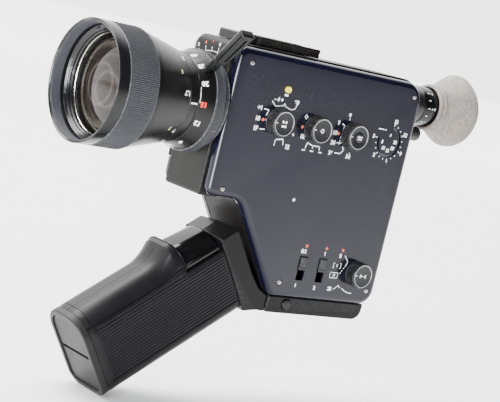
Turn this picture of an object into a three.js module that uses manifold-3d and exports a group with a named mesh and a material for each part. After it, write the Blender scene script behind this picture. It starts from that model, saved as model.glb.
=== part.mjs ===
// Hand-held cine camera with a zoom lens, folding battery grip, side control panel and film door.
// Millimetres. +X points to the rear of the camera, +Y to its film-door side, +Z up.
// The origin lies on the flat underside of the base block, where a tripod head touches it.

import * as THREE from 'three';
import { mergeVertices } from 'three/addons/utils/BufferGeometryUtils.js';
import Module from 'manifold-3d';

const wasm = await Module();
wasm.setup();

// Driving dimensions

const clearance = 0.3;
const wall = 2.2;

const body = {
  front: -100.8, rear: 41.4, top: 146.9, bottom: 10.35,
  noseBottom: 63, notchX: -76.4, heelX: -39.6,
};
const coverOuter = 22.5;
const coverInner = 17;
const coverSkin = 1.5;
const coverRound = 3.6;
const frameHalf = 16.5;
const frameStep = 1.1;
const roofZ = body.top + frameStep;
const webY = [-8, -5.6];
const webTop = 121;

const lens = { z: 110.7, front: -181.6, rimEnd: -174.9, knurlEnd: -156, ringFront: -123.3, ringRear: -114.3 };
const lensRadius = 33.3;
const zoomRadius = 24.9;
const zoomFlare = 28.1;
const flange = { front: -114, rear: -108, radius: 28.5, neck: 25.5 };
const tubeRadius = 20;
const bayonetBore = 23;
const lever = { x: -117, lean: 45, width: 6.4, reach: 61.5 };
const housingFront = -102.6;
const housingRear = -88.6;

const dialRadius = 7.65;
const dialHeight = 7.6;
const dialFoot = -coverOuter - clearance;
const dialFace = dialFoot - dialHeight;
const spindleRadius = 3;
const dialRowZ = 109.7;
const dialX = { mode: -65.7, frameRate: -37.1, exposure: -8.5 };
const soundDial = { x: 21.4, z: 29.25 };
const counter = { x: 22.5, z: 109.8, radius: 8.7 };
const timerButton = { x: -62.8, z: 128.3 };
const sliderX = { time: -20.8, sound: -5.7 };
const slider = { width: 5.6, top: 35.8, bottom: 21.3, travel: 5.4 };
const screwPlaces = [[-91.5, 138.8], [34.5, 138.8], [-91.4, 67.7], [-34.7, 18.9], [34.5, 19.1]];

const eyepiece = { z: 133.4, collarEnd: 55.5, ringEnd: 71.8, tubeRadius: 11.4, ringRadius: 11.9 };
const eyecup = { neck: 79, rim: 88, radius: 21.9, wing: 6 };
const finderKnob = { y: -9, z: 116.6, radius: 4.4, end: 58 };

const base = { rear: 38, halfWidth: 19, top: body.bottom - clearance };
const pivot = { x: -22.95, z: 5.4 };
const baseNose = 14.25;
const knuckle = { radius: 4, halfWidth: 7.5, slotEnd: -10.5 };
const gripTilt = THREE.MathUtils.degToRad(35);
const grip = { end: -121.6, top: -28.3, rear: 12, front: 63, half: 18, skin: 1.6 };
const cell = { radius: 7.1, length: 50.5, pitch: 14.6, start: -120 };

const takeUp = { x: -17, z: 75, radius: 2.8, hole: 3.4 };
const bay = { x: [-56, 27], z: [25, 122], floor: -5.3, rim: 16.4, skin: 1.5 };
const hinge = { x: -99.2, y: 21, z: [76, 134] };
const drive = { x: -44, z: 52 };
const gearModule = 0.8;
const gearTeeth = 30;
const pinionTeeth = 10;
const gearY = [-12.6, -10.6];
const driveHole = 2.6;
const shutter = { x: -97, z: 99, radius: 14, thickness: 0.6 };

// Colours and finishes

const finish = (color, roughness, metalness = 0) => ({ color, roughness, metalness });
const satinBlack = finish(0x24242c, 0.42);
const housingGrey = finish(0x3c3c3a, 0.55);
const frameDark = finish(0x2c2a28, 0.5);
const lensBlack = finish(0x161618, 0.35, 0.3);
const ringGrey = finish(0x5e5e64, 0.45, 0.4);
const dialBlack = finish(0x2b2b2e, 0.4, 0.2);
const steel = finish(0xb0b0ac, 0.3, 1);
const brass = finish(0xa98a4a, 0.35, 1);
const gripPlastic = finish(0x424245, 0.6);
const glossBlack = finish(0x0e0e10, 0.15);
const capGrey = finish(0x74706c, 0.55);
const oldRubber = finish(0xa49c92, 0.85);
const glass = finish(0x6a5a50, 0.05);
const lampRed = finish(0xa0142a, 0.15);
const yellow = finish(0xe8d840, 0.35);
const white = finish(0xe6e6e2, 0.6);
const zinc = finish(0x8c8c90, 0.45, 0.8);

const group = new THREE.Group();
const gripGroup = new THREE.Group();
gripGroup.position.set(pivot.x, 0, pivot.z);
gripGroup.rotation.y = -gripTilt;
group.add(gripGroup);

// Solid helpers

function solidOf(geometry) {
  const bare = geometry.clone();
  bare.deleteAttribute('normal');
  bare.deleteAttribute('uv');
  const merged = mergeVertices(bare, 1e-4);
  const corners = merged.index.array;
  const kept = [];
  for (let i = 0; i < corners.length; i += 3) {
    const [a, b, c] = [corners[i], corners[i + 1], corners[i + 2]];
    if (a !== b && b !== c && c !== a) kept.push(a, b, c);
  }
  const mesh = new wasm.Mesh({
    numProp: 3,
    vertProperties: new Float32Array(merged.attributes.position.array),
    triVerts: new Uint32Array(kept),
  });
  return new wasm.Manifold(mesh);
}

function geometryOf(solid) {
  const mesh = solid.getMesh();
  const geometry = new THREE.BufferGeometry();
  geometry.setAttribute('position', new THREE.BufferAttribute(new Float32Array(mesh.vertProperties), 3));
  geometry.setIndex(new THREE.BufferAttribute(new Uint32Array(mesh.triVerts), 1));
  geometry.computeVertexNormals();
  return geometry;
}

const cut = (solid, ...tools) => tools.reduce((left, tool) => left.subtract(tool), solid);
const join = (solid, ...others) => others.reduce((sum, other) => sum.add(other), solid);

function addPart(name, solid, look, parent = group) {
  const mesh = new THREE.Mesh(geometryOf(solid), new THREE.MeshStandardMaterial(look));
  mesh.name = name;
  parent.add(mesh);
}

// Shapes

function block([x0, x1], [y0, y1], [z0, z1]) {
  const box = new THREE.BoxGeometry(x1 - x0, y1 - y0, z1 - z0);
  return solidOf(box.translate((x0 + x1) / 2, (y0 + y1) / 2, (z0 + z1) / 2));
}

// A cylinder along one axis, from one station to another, centred on the other two coordinates.
function rod(axis, [from, to], radius, [p, q], sides = 16) {
  const shape = new THREE.CylinderGeometry(radius, radius, to - from, sides);
  shape.translate(0, (from + to) / 2, 0);
  if (axis === 'x') shape.rotateZ(-Math.PI / 2).translate(0, p, q);
  if (axis === 'y') shape.translate(p, 0, q);
  if (axis === 'z') shape.rotateX(Math.PI / 2).translate(p, q, 0);
  return solidOf(shape);
}

// A turned piece: profile points are [station along the axis, radius], listed so that the outside
// is walked towards +axis and the bore is walked back.
function turned(axis, profile, [p, q], sides = 32) {
  const points = profile.map(([station, radius]) => new THREE.Vector2(radius, station));
  const shape = new THREE.LatheGeometry(points, sides);
  if (axis === 'x') shape.rotateZ(-Math.PI / 2).translate(0, p, q);
  if (axis === 'y') shape.translate(p, 0, q);
  return solidOf(shape);
}

const ring = (axis, [from, to], outer, inner, centre, sides = 32) => turned(
  axis, [[from, inner], [from, outer], [to, outer], [to, inner], [from, inner]], centre, sides);

// An outline in the X-Z plane, raised along Y. A positive bevel rounds both of its rims.
function slab(shape, [y0, y1], bevel = 0, curveSegments = 4) {
  const geometry = new THREE.ExtrudeGeometry(shape, {
    depth: y1 - y0 - 2 * bevel,
    curveSegments,
    bevelEnabled: bevel > 0,
    bevelThickness: bevel,
    bevelSize: bevel,
    bevelOffset: -bevel,
    bevelSegments: 2,
  });
  return solidOf(geometry.rotateX(Math.PI / 2).translate(0, y1 - bevel, 0));
}

// Corners are [x, z, radius], listed anticlockwise as seen from -Y.
function roundedOutline(corners) {
  const shape = new THREE.Shape();
  corners.forEach(([x, z, radius], i) => {
    const here = new THREE.Vector2(x, z);
    const before = new THREE.Vector2(...corners.at(i - 1).slice(0, 2));
    const after = new THREE.Vector2(...corners[(i + 1) % corners.length].slice(0, 2));
    const back = before.sub(here).normalize();
    const ahead = after.sub(here).normalize();
    const half = Math.acos(back.dot(ahead)) / 2;
    if (radius === 0) {
      if (i === 0) shape.moveTo(x, z);
      else shape.lineTo(x, z);
      return;
    }
    const reach = radius / Math.tan(half);
    const start = back.clone().multiplyScalar(reach).add(here);
    const end = ahead.clone().multiplyScalar(reach).add(here);
    const centre = back.clone().add(ahead).normalize().multiplyScalar(radius / Math.sin(half)).add(here);
    const startAngle = Math.atan2(start.y - centre.y, start.x - centre.x);
    const endAngle = Math.atan2(end.y - centre.y, end.x - centre.x);
    const clockwise = back.x * ahead.y - back.y * ahead.x > 0;
    if (i === 0) shape.moveTo(start.x, start.y);
    shape.absarc(centre.x, centre.y, radius, startAngle, endAngle, clockwise);
  });
  shape.closePath();
  return shape;
}

// Moves each edge of the outline inwards by a distance and keeps its corners round.
function insetCorners(corners, distance) {
  const edges = corners.map(([x, z], i) => {
    const [nextX, nextZ] = corners[(i + 1) % corners.length];
    const along = new THREE.Vector2(nextX - x, nextZ - z).normalize();
    return { along, point: new THREE.Vector2(x - along.y * distance, z + along.x * distance) };
  });
  return corners.map((corner, i) => {
    const [first, second] = [edges.at(i - 1), edges[i]];
    const gap = second.point.clone().sub(first.point);
    const turn = first.along.cross(second.along);
    const step = gap.cross(second.along) / turn;
    const crossing = first.along.clone().multiplyScalar(step).add(first.point);
    const radius = turn > 0 ? Math.max(corner[2] - distance, 0.4) : corner[2] + distance;
    return [crossing.x, crossing.y, radius];
  });
}

const coverCorners = [
  [body.front, body.top, 5.4],
  [body.front, body.noseBottom, 4.5],
  [body.notchX, body.noseBottom, 14],
  [body.heelX, body.bottom, 6],
  [body.rear, body.bottom, 9.5],
  [body.rear, body.top, 12],
];
const frameCorners = [
  [housingRear, roofZ, 0],
  [housingRear, body.noseBottom, 0],
  [body.notchX, body.noseBottom, 14],
  [body.heelX, body.bottom, 6],
  [body.rear, body.bottom, 9.5],
  [body.rear, roofZ, 12],
];
const rectangle = ([x0, x1], [z0, z1], radius = 0) => roundedOutline(
  [[x0, z1, radius], [x0, z0, radius], [x1, z0, radius], [x1, z1, radius]]);

// Casing

function coverTray(side) {
  const outer = slab(roundedOutline(coverCorners), [-coverOuter, coverOuter], coverRound);
  const depth = side < 0 ? [-coverOuter - 1, -coverInner] : [coverInner, coverOuter + 1];
  const halfOnly = outer.intersect(block([-140, 60], depth, [0, 160]));
  const hollowRange = side < 0 ? [-coverOuter + coverSkin, 0] : [0, coverOuter - coverSkin];
  return halfOnly.subtract(slab(roundedOutline(insetCorners(coverCorners, wall)), hollowRange));
}

function arcSlot() {
  const shape = new THREE.Shape();
  shape.absarc(counter.x, counter.z, counter.radius + 0.7, Math.PI * 0.95, Math.PI * 2.45, false);
  shape.absarc(counter.x, counter.z, counter.radius - 0.7, Math.PI * 2.45, Math.PI * 0.95, true);
  return slab(shape, [-coverOuter - 1, -coverInner]);
}

function addSideCover() {
  const through = [-coverOuter - 1, -coverInner];
  const holes = [
    ...Object.values(dialX).map((x) => rod('y', through, 3.4, [x, dialRowZ])),
    rod('y', through, 3.4, [soundDial.x, soundDial.z]),
    rod('y', through, 2.1, [timerButton.x, timerButton.z]),
    ...screwPlaces.map(([x, z]) => rod('y', through, 1.75, [x, z], 10)),
    ...Object.values(sliderX).map((x) => slab(
      rectangle([x - slider.width / 2, x + slider.width / 2], [slider.bottom, slider.top]), through)),
    arcSlot(),
  ];
  addPart('side_cover', cut(coverTray(-1), ...holes), satinBlack);
}

function addScrews() {
  screwPlaces.forEach(([x, z], i) => {
    const head = rod('y', [-coverOuter - 0.1, -coverOuter + 0.9], 1.4, [x, z], 12);
    const shank = rod('y', [-coverOuter + 0.5, -coverInner - 0.5], 0.9, [x, z], 8);
    const slot = block([x - 2, x + 2], [-coverOuter - 1, -coverOuter + 0.3], [z - 0.2, z + 0.2]);
    addPart(`cover_screw_${i + 1}`, cut(join(head, shank), slot), steel);
  });
}

function addCentreFrame() {
  const outer = slab(roundedOutline(frameCorners), [-frameHalf, frameHalf], 0, 10);
  const hollow = roundedOutline(insetCorners(frameCorners, wall));
  const inner = slab(hollow, [-frameHalf - 1, frameHalf + 1], 0, 10);
  const openFront = block([housingRear - 1, housingRear + 4], [-14, 14], [body.noseBottom + 4, 140]);
  const web = slab(roundedOutline(insetCorners(frameCorners, wall - 0.2)), webY)
    .intersect(block([-80, 60], [-20, 20], [0, webTop]));
  const webHoles = [
    rod('y', [-10, 0], driveHole, [drive.x, drive.z]),
    rod('y', [-10, 0], takeUp.hole, [takeUp.x, takeUp.z]),
  ];
  const eyeHole = rod('x', [30, 60], eyepiece.tubeRadius + clearance, [0, eyepiece.z], 32);
  const knobHole = rod('x', [30, 60], 2.4, [finderKnob.y, finderKnob.z], 16);
  const frame = cut(join(cut(outer, inner), web), openFront, ...webHoles, eyeHole, knobHole);
  addPart('centre_frame', frame, frameDark);
}

function addFrontHousing() {
  const corners = [
    [housingFront, roofZ, 5],
    [housingFront, body.noseBottom - 1.3, 2],
    [housingRear - clearance, body.noseBottom - 1.3, 0],
    [housingRear - clearance, roofZ, 0],
  ];
  const outer = slab(roundedOutline(corners), [-frameHalf, frameHalf], 0);
  const inner = block([housingFront + wall, housingRear + 2], [-14.6, 14.6], [64, 145.6]);
  const throat = rod('x', [housingFront - 1, housingFront + 5], 14, [0, lens.z], 40);
  const bearing = rod('x', [housingFront - 1, housingFront + 5], 1.5, [0, 92], 12);
  addPart('front_housing', cut(outer, inner, throat, bearing), housingGrey);
}

function addFilmDoor() {
  const tray = coverTray(1);
  const hingeNotch = block([body.front - 2, hinge.x + 2], [coverInner - 1, coverOuter + 1], hinge.z);
  const latchNotch = block([body.rear - 4.5, body.rear + 2], [coverInner - 1, coverOuter + 1], [70, 88]);
  addPart('film_door', cut(tray, hingeNotch, latchNotch), satinBlack);
}

function addDoorLatch() {
  const thumb = block([body.rear - 4, body.rear - 1], [coverInner + 0.3, coverOuter - 0.9], [76, 86]);
  const grooves = [78, 81, 84].map(
    (z) => block([body.rear - 5, body.rear], [coverOuter - 1.4, coverOuter], [z - 0.4, z + 0.4]));
  addPart('door_latch', cut(thumb, ...grooves), zinc);
}

function addDoorHinge() {
  const [low, high] = [hinge.z[0] + clearance, hinge.z[1] - clearance];
  const barrel = rod('z', [low, high], 1.4, [hinge.x, hinge.y], 12);
  const leaf = block([hinge.x - 1.2, hinge.x + 0.4], [frameHalf + clearance, hinge.y - 0.4], [low, high]);
  addPart('door_hinge', join(barrel, leaf), frameDark);
}

function addBase() {
  const nose = [];
  for (let step = 0; step <= 6; step += 1) {
    const z = base.top - (step / 6) * base.top;
    nose.push([pivot.x - Math.sqrt(baseNose ** 2 - (z - pivot.z) ** 2), z, 0]);
  }
  const outline = roundedOutline([...nose, [base.rear, 0, 7], [base.rear, base.top, 0]]);
  const solid = slab(outline, [-base.halfWidth, base.halfWidth]);
  const slot = block([-60, knuckle.slotEnd], [-8, 8], [-1, base.top + 1]);
  const pinHole = rod('y', [-30, 30], 3.6, [pivot.x, pivot.z]);
  const bushHole = rod('z', [-1, base.top + 1], 5.3, [16, 0]);
  addPart('base_block', cut(solid, slot, pinHole, bushHole), gripPlastic);
  const bush = rod('z', [0, base.top - 0.5], 5, [16, 0]);
  addPart('tripod_bush', cut(bush, rod('z', [-1, base.top - 3], 3.1, [16, 0])), steel);
}

// Top

function addAccessoryRail() {
  const floor = roofZ + clearance;
  const plate = block([-81, -36], [-11, 11], [floor, floor + 1.6]);
  const channel = block([-79.5, -30], [-9.3, 9.3], [floor + 1.5, floor + 3.4]);
  const mouth = block([-79.5, -30], [-6.6, 6.6], [floor + 1.5, floor + 9]);
  const rails = block([-81, -36], [-11, 11], [floor, floor + 5]);
  addPart('accessory_rail', cut(join(plate, rails), channel, mouth), frameDark);
}

function addSignalLamp() {
  const floor = roofZ + clearance;
  const housing = block([-95.5, -82], [-8.5, 8.5], [floor, floor + 5.2]);
  const socket = rod('y', [-9, -4], 1.9, [-89.5, floor + 2.6], 16);
  addPart('lamp_housing', cut(housing, socket), frameDark);
  addPart('signal_lamp', rod('y', [-9.2, -5], 1.6, [-89.5, floor + 2.6], 16), lampRed);
}

// Lens

const lensAxis = [0, lens.z];

function addLens() {
  const seat = housingFront - clearance;
  addPart('lens_flange', turned('x', [
    [flange.front, bayonetBore], [flange.front, flange.radius - 0.4], [flange.front + 0.4, flange.radius],
    [flange.rear, flange.radius], [flange.rear, flange.neck], [seat, flange.neck], [seat, bayonetBore],
    [flange.front, bayonetBore],
  ], lensAxis), ringGrey);
  const tube = turned('x', [
    [-150, tubeRadius - 2], [-150, tubeRadius], [seat, tubeRadius], [seat, tubeRadius - 4],
    [-106, tubeRadius - 4], [-106, tubeRadius - 2], [-150, tubeRadius - 2],
  ], lensAxis);
  addPart('lens_tube', tube, lensBlack);
  addPart('focus_barrel', turned('x', [
    [-174.6, 30.8], [-174.6, lensRadius - 0.5], [-173.8, lensRadius], [lens.knurlEnd, lensRadius],
    [-155.2, 32.4], [-152.5, 32.2], [lens.ringFront - clearance, zoomRadius + 0.2],
    [lens.ringFront - clearance, tubeRadius + 0.4], [-149, tubeRadius + 0.4], [-154, 28.5], [-167.4, 28.5],
    [-167.4, 30.8], [-174.6, 30.8],
  ], lensAxis), lensBlack);
  addPart('front_rim', turned('x', [
    [lens.front, 31], [lens.front, lensRadius - 0.4], [lens.front + 0.5, lensRadius],
    [lens.rimEnd, lensRadius], [lens.rimEnd, 30.4], [-167.7, 30.4], [-167.7, 27.4], [-170, 27.4], [-173, 29.4],
    [lens.front, 31],
  ], lensAxis), glossBlack);
  addPart('front_lens', turned('x', [
    [-171.5, 0], [-170.6, 10], [-168.4, 19], [-165.5, 26.8], [-160.5, 27.6], [-159.5, 20], [-158.8, 0],
  ], lensAxis), glass);
}

function addZoomRing() {
  const bore = tubeRadius + 0.4;
  addPart('zoom_ring', turned('x', [
    [lens.ringFront, bore], [lens.ringFront, zoomRadius], [lens.ringRear, zoomFlare], [lens.ringRear, bore],
    [lens.ringFront, bore],
  ], lensAxis), lensBlack);
}

function addZoomLever() {
  const holder = new THREE.Group();
  holder.position.set(lever.x, 0, lens.z);
  holder.rotation.x = THREE.MathUtils.degToRad(lever.lean);
  group.add(holder);
  const half = lever.width / 2;
  const seatCone = turned('x', [
    [lens.ringFront - lever.x, 0], [lens.ringFront - lever.x, zoomRadius + clearance],
    [lens.ringRear - lever.x, zoomFlare + clearance], [6, zoomFlare + clearance], [6, 0],
  ], [0, 0]);
  const root = block([-4, 2.6], [-3, 3], [zoomRadius, zoomRadius + 13]);
  const handle = block([-3, 6.4], [-half, half], [zoomRadius + 12, lever.reach]);
  const groove = block([-4, 7], [-half - 0.4, -half + 0.8], [zoomRadius + 15, lever.reach - 1.5]);
  addPart('zoom_lever', cut(join(root, handle), groove, seatCone), glossBlack, holder);
}

// Controls

function addDial(name, x, z, button = false) {
  const cap = turned('y', [
    [dialFace, 0], [dialFace, dialRadius - 0.8], [dialFace + 0.8, dialRadius], [dialFoot, dialRadius],
    [dialFoot, spindleRadius], [-18, spindleRadius], [-18, 0],
  ], [x, z], 24);
  const mark = [z + 4.2, z + dialRadius + 1];
  const index = block([x - 0.45, x + 0.45], [dialFace - 1, dialFace + 0.7], mark);
  const well = rod('y', [dialFace - 1, dialFace + 3], 3.4, [x, z]);
  addPart(name, button ? cut(cap, index, well) : cut(cap, index), dialBlack);
}

function addControls() {
  addDial('mode_dial', dialX.mode, dialRowZ);
  addDial('frame_rate_dial', dialX.frameRate, dialRowZ);
  addDial('exposure_dial', dialX.exposure, dialRowZ, true);
  addDial('sound_dial', soundDial.x, soundDial.z);
  const push = rod('y', [dialFace - 0.4, dialFace + 1.7], 3, [dialX.exposure, dialRowZ]);
  addPart('battery_test_button', push, dialBlack);
  const stem = rod('y', [-coverOuter - 1.6, -coverInner - 1], 1.8, [timerButton.x, timerButton.z]);
  addPart('timer_button', stem, yellow);
  Object.entries(sliderX).forEach(([name, x]) => {
    const high = slider.top;
    const thumbY = [-coverOuter - 1.2, -coverOuter + 0.6];
    const thumb = block([x - 2.5, x + 2.5], thumbY, [high - 8.2, high - 0.3]);
    const foot = block([x - 2.2, x + 2.2], [-coverOuter + 0.4, -coverInner - 1], [high - 7, high - 1.5]);
    addPart(`${name}_slider`, join(thumb, foot), dialBlack);
  });
  addPart('counter_disc', rod('y', [-20.6, -18.8], counter.radius + 2.2, [counter.x, counter.z], 24), white);
}

// Eyepiece

function addEyepiece() {
  const centre = [0, eyepiece.z];
  addPart('eyepiece_tube', turned('x', [
    [32, 8.4], [32, eyepiece.tubeRadius], [42.4, eyepiece.tubeRadius], [42.4, 12.4], [47, 12.4], [48.5, 11.6],
    [eyepiece.collarEnd, 11.6], [eyepiece.collarEnd, 9.8], [66, 9.8], [66, 8.4], [32, 8.4],
  ], centre, 24), dialBlack);
  addPart('diopter_ring', turned('x', [
    [eyepiece.collarEnd + 0.3, 10.1], [eyepiece.collarEnd + 0.3, eyepiece.ringRadius],
    [eyepiece.ringEnd, eyepiece.ringRadius], [eyepiece.ringEnd, 10.1], [eyepiece.collarEnd + 0.3, 10.1],
  ], centre, 24), glossBlack);
  addPart('eyepiece_lens', turned('x', [
    [58, 0], [60, 8.1], [64, 8.1], [65.8, 0],
  ], centre, 20), glass);
  addPart('finder_knob', turned('x', [
    [32, 0], [32, 2], [body.rear + 0.4, 2], [body.rear + 0.4, finderKnob.radius], [55.6, finderKnob.radius],
    [56.5, 3.6], [56.5, 0],
  ], [finderKnob.y, finderKnob.z], 16), dialBlack);
}

// A round collar that flares into an eye-hugging hood, drawn out into a wing at the top.
function addEyecup() {
  const points = [
    [66.4, 12.3], [66.4, 13.8], [71.4, 14.4], [74.2, 14.9], [eyecup.neck, 17.4], [84.5, 20.4],
    [eyecup.rim, eyecup.radius], [eyecup.rim + 0.8, eyecup.radius - 1], [84.6, 17.8], [80, 14.4],
    [74.4, 9.6], [72.1, 9.6], [72.1, 12.3], [66.4, 12.3],
  ].map(([station, radius]) => new THREE.Vector2(radius, station));
  const cup = new THREE.LatheGeometry(points, 28);
  cup.rotateZ(-Math.PI / 2);
  const place = cup.attributes.position;
  for (let i = 0; i < place.count; i += 1) {
    const reach = Math.max(0, (place.getX(i) - eyecup.neck) / (eyecup.rim - eyecup.neck));
    const radius = Math.hypot(place.getY(i), place.getZ(i));
    const upward = radius > 0 ? place.getZ(i) / radius : 0;
    const outward = Math.max(0, -place.getY(i) / Math.max(radius, 1));
    place.setX(i, place.getX(i) + eyecup.wing * 0.6 * reach * outward);
    place.setZ(i, place.getZ(i) + 1.6 * reach * Math.max(0, upward) ** 3);
  }
  addPart('eyecup', solidOf(cup.translate(0, 0, eyepiece.z)), oldRubber);
}

// Folding grip, drawn in its own frame: X runs up the grip towards the pivot, Z towards the fingers.

function gripSection(inset) {
  return roundedOutline(insetCorners([
    [-grip.half, grip.rear, 8],
    [grip.half, grip.rear, 8],
    [grip.half, grip.front, 14],
    [-grip.half, grip.front, 14],
  ], inset));
}

// Raises an outline drawn in the Y-Z plane along X.
function prism(shape, [x0, x1]) {
  const depth = x1 - x0;
  const geometry = new THREE.ExtrudeGeometry(shape, { depth, curveSegments: 4, bevelEnabled: false });
  return solidOf(geometry.rotateX(Math.PI / 2).rotateZ(Math.PI / 2).translate(x0, 0, 0));
}

function gripBody() {
  const outer = prism(gripSection(0), [grip.end, grip.top]);
  const hump = slab(roundedOutline([
    [-76, grip.front - 6, 0], [-55.6, grip.front - 6, 0], [-55.6, 72, 1],
    [-61.5, 72, 1], [-66, grip.front + 2, 3],
  ]), [-13, 13]);
  const hollow = prism(gripSection(grip.skin), [grip.end - 1, grip.top - 2]);
  const triggerBay = block([-54.6, 0], [-30, 30], [55, 90]);
  const triggerWell = block([-54.6, grip.top - 2.5], [-15.6, 15.6], [46, 80]);
  const humpInside = block([-64, -57.6], [-10, 10], [50, 66]);
  return cut(join(outer, hump), hollow, triggerBay, triggerWell, humpInside);
}

function addGrip() {
  const whole = gripBody();
  const near = whole.intersect(block([-200, 50], [-40, -0.15], [-10, 100]));
  const far = whole.intersect(block([-200, 50], [0.15, 40], [-10, 100]));
  addPart('grip_left_shell', near, gripPlastic, gripGroup);
  addPart('grip_right_shell', far, gripPlastic, gripGroup);
}

function addBracket() {
  const arm = roundedOutline([
    [-28, grip.rear, 0], [-19, 7.2, 6], [-15.1, 4, 0], [-9.5, 12, 0], [-13.2, 19, 4], [-14.8, 30, 4],
    [-14.8, 61, 3], [-28, 61, 1.5],
  ]);
  const solid = slab(arm, [-grip.half, grip.half]);
  const barrel = rod('y', [-knuckle.halfWidth, knuckle.halfWidth], knuckle.radius, [0, 0], 20);
  const neck = slab(roundedOutline([
    [-14.9, 4.6, 0], [-3, -2.6, 0], [3, 2.6, 0], [-10.4, 11.2, 0],
  ]), [-knuckle.halfWidth, knuckle.halfWidth]);
  const bore = rod('y', [-20, 20], 2.1, [0, 0]);
  addPart('grip_bracket', cut(join(solid, barrel, neck), bore), gripPlastic, gripGroup);
}

function addFoldPin() {
  const pin = turned('y', [
    [-base.halfWidth - 0.8, 0], [-base.halfWidth - 0.8, 3.2], [-14, 3.2], [-14, 1.8], [14, 1.8], [14, 3.2],
    [base.halfWidth, 3.2], [base.halfWidth, 0],
  ], [pivot.x, pivot.z], 24);
  addPart('fold_pin', pin, dialBlack);
}

function addTrigger() {
  const shape = roundedOutline([
    [-53.4, 56, 2], [-52.2, 47.5, 2], [-31.4, 47.5, 0.6], [-31.4, 55.6, 0.6],
    [-29.4, 56.2, 0], [-29.4, 61, 1.2], [-33, 63.6, 2], [-53.2, 65.4, 2],
  ]);
  addPart('trigger', slab(shape, [-15, 15]), glossBlack, gripGroup);
  const leaf = roundedOutline([[-52, 44.6, 0], [-52, 44, 0], [-34, 41.5, 0], [-34, 42.1, 0]]);
  addPart('trigger_spring', slab(leaf, [-3, 3]), steel, gripGroup);
}

function addBatteries() {
  const columns = [1, 2, 3].map((n) => grip.rear + grip.skin + 0.8 + cell.pitch * (n - 0.5));
  columns.forEach((z, column) => {
    [-7.6, 7.6].forEach((y, row) => {
      const from = cell.start;
      const profile = [
        [from, 0], [from, cell.radius], [from + cell.length - 1.4, cell.radius],
        [from + cell.length - 1.4, 2.7], [from + cell.length, 2.7], [from + cell.length, 0],
      ];
      addPart(`battery_cell_${2 * column + row + 1}`, turned('x', profile, [y, z], 16), zinc, gripGroup);
    });
  });
  const endX = cell.start + cell.length;
  const plate = prism(gripSection(grip.skin + 0.5), [endX + clearance, endX + 1.5]);
  const web = block([cell.start, endX + 1], [-0.2, 0.2], [columns[0] - 6, columns[2] + 6]);
  addPart('battery_carrier', join(plate, web), dialBlack, gripGroup);
}

function addBatteryCap() {
  const lid = prism(gripSection(0), [grip.end - 4.4, grip.end - clearance]);
  const recess = prism(gripSection(4.2), [grip.end - 6, grip.end - 3.4]);
  const slot = block([grip.end - 6, grip.end - 2.6], [-12, 12], [36.6, 38]);
  addPart('battery_cap', cut(lid, recess, slot), capGrey, gripGroup);
}

// Film transport

function addFilmBay() {
  const corners = [
    [bay.x[0], bay.z[1], 2], [bay.x[0], 41, 2], [-45.5, bay.z[0], 2],
    [bay.x[1], bay.z[0], 2], [bay.x[1], bay.z[1], 2],
  ];
  const tray = slab(roundedOutline(corners), [bay.floor, bay.rim]);
  const inside = slab(roundedOutline(insetCorners(corners, bay.skin)), [bay.floor + bay.skin, bay.rim + 1]);
  const window = block([bay.x[0] - 1, bay.x[0] + 3], [-2.5, 9], [lens.z - 7, lens.z + 7]);
  const holes = [
    rod('y', [-10, 0], driveHole, [drive.x, drive.z]),
    rod('y', [-10, 0], takeUp.hole, [takeUp.x, takeUp.z]),
  ];
  addPart('film_bay', cut(tray, inside, window, ...holes), frameDark);
  const gate = block([bay.x[0] + bay.skin + clearance, bay.x[0] + 3.2], [-3, 12], [lens.z - 13, lens.z + 9]);
  const aperture = block([bay.x[0], bay.x[0] + 5], [-2.9, 2.9], [lens.z - 2.1, lens.z + 2.1]);
  addPart('film_gate', cut(gate, aperture), steel);
  addPart('sound_head', block([bay.x[0] + 2, bay.x[0] + 7], [-3, 6], [60, 67]), zinc);
}

function gearShape(teeth) {
  const shape = new THREE.Shape();
  const pitch = gearModule * teeth / 2;
  for (let tooth = 0; tooth < teeth; tooth += 1) {
    [[-0.3, -0.75], [-0.16, 0.6], [0.16, 0.6], [0.3, -0.75]].forEach(([turn, rise], i) => {
      const angle = ((tooth + turn) / teeth) * 2 * Math.PI;
      const [x, z] = [(pitch + rise) * Math.cos(angle), (pitch + rise) * Math.sin(angle)];
      if (tooth === 0 && i === 0) shape.moveTo(x, z);
      else shape.lineTo(x, z);
    });
  }
  shape.closePath();
  return shape;
}

function addDriveTrain() {
  const gear = join(slab(gearShape(gearTeeth), gearY), rod('y', [-15, -8.3], 3.4, [0, 0]));
  addPart('drive_gear', gear.translate([drive.x, 0, drive.z]), brass);
  const driveAxis = [drive.x, drive.z];
  const capstan = join(rod('y', [-8, 9.5], 1.9, driveAxis), rod('y', [9, 10], 2.4, driveAxis));
  addPart('capstan', capstan, steel);
  const spread = gearModule * (gearTeeth + pinionTeeth) / 2;
  const pinionPlace = [drive.x + spread, 0, drive.z];
  const pinion = join(slab(gearShape(pinionTeeth), gearY), rod('y', [-13.4, -9.8], 2.2, [0, 0]));
  const halfTooth = 180 / pinionTeeth;
  addPart('motor_pinion', pinion.rotate([0, -halfTooth, 0]).translate(pinionPlace), brass);
  const can = rod('y', [-20.4, -13.7], 10.5, [pinionPlace[0], pinionPlace[2]], 24);
  addPart('motor', can, zinc);
  const takeUpAxis = [takeUp.x, takeUp.z];
  const spindle = rod('y', [-4.6, 7], takeUp.radius, takeUpAxis);
  const wing = block([takeUp.x - 5, takeUp.x + 5], [-2, 6], [takeUp.z - 0.6, takeUp.z + 0.6]);
  const shaft = rod('y', [-9, -4.3], 2.2, takeUpAxis);
  addPart('take_up_spindle', join(spindle, wing, shaft), dialBlack);
}

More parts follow.
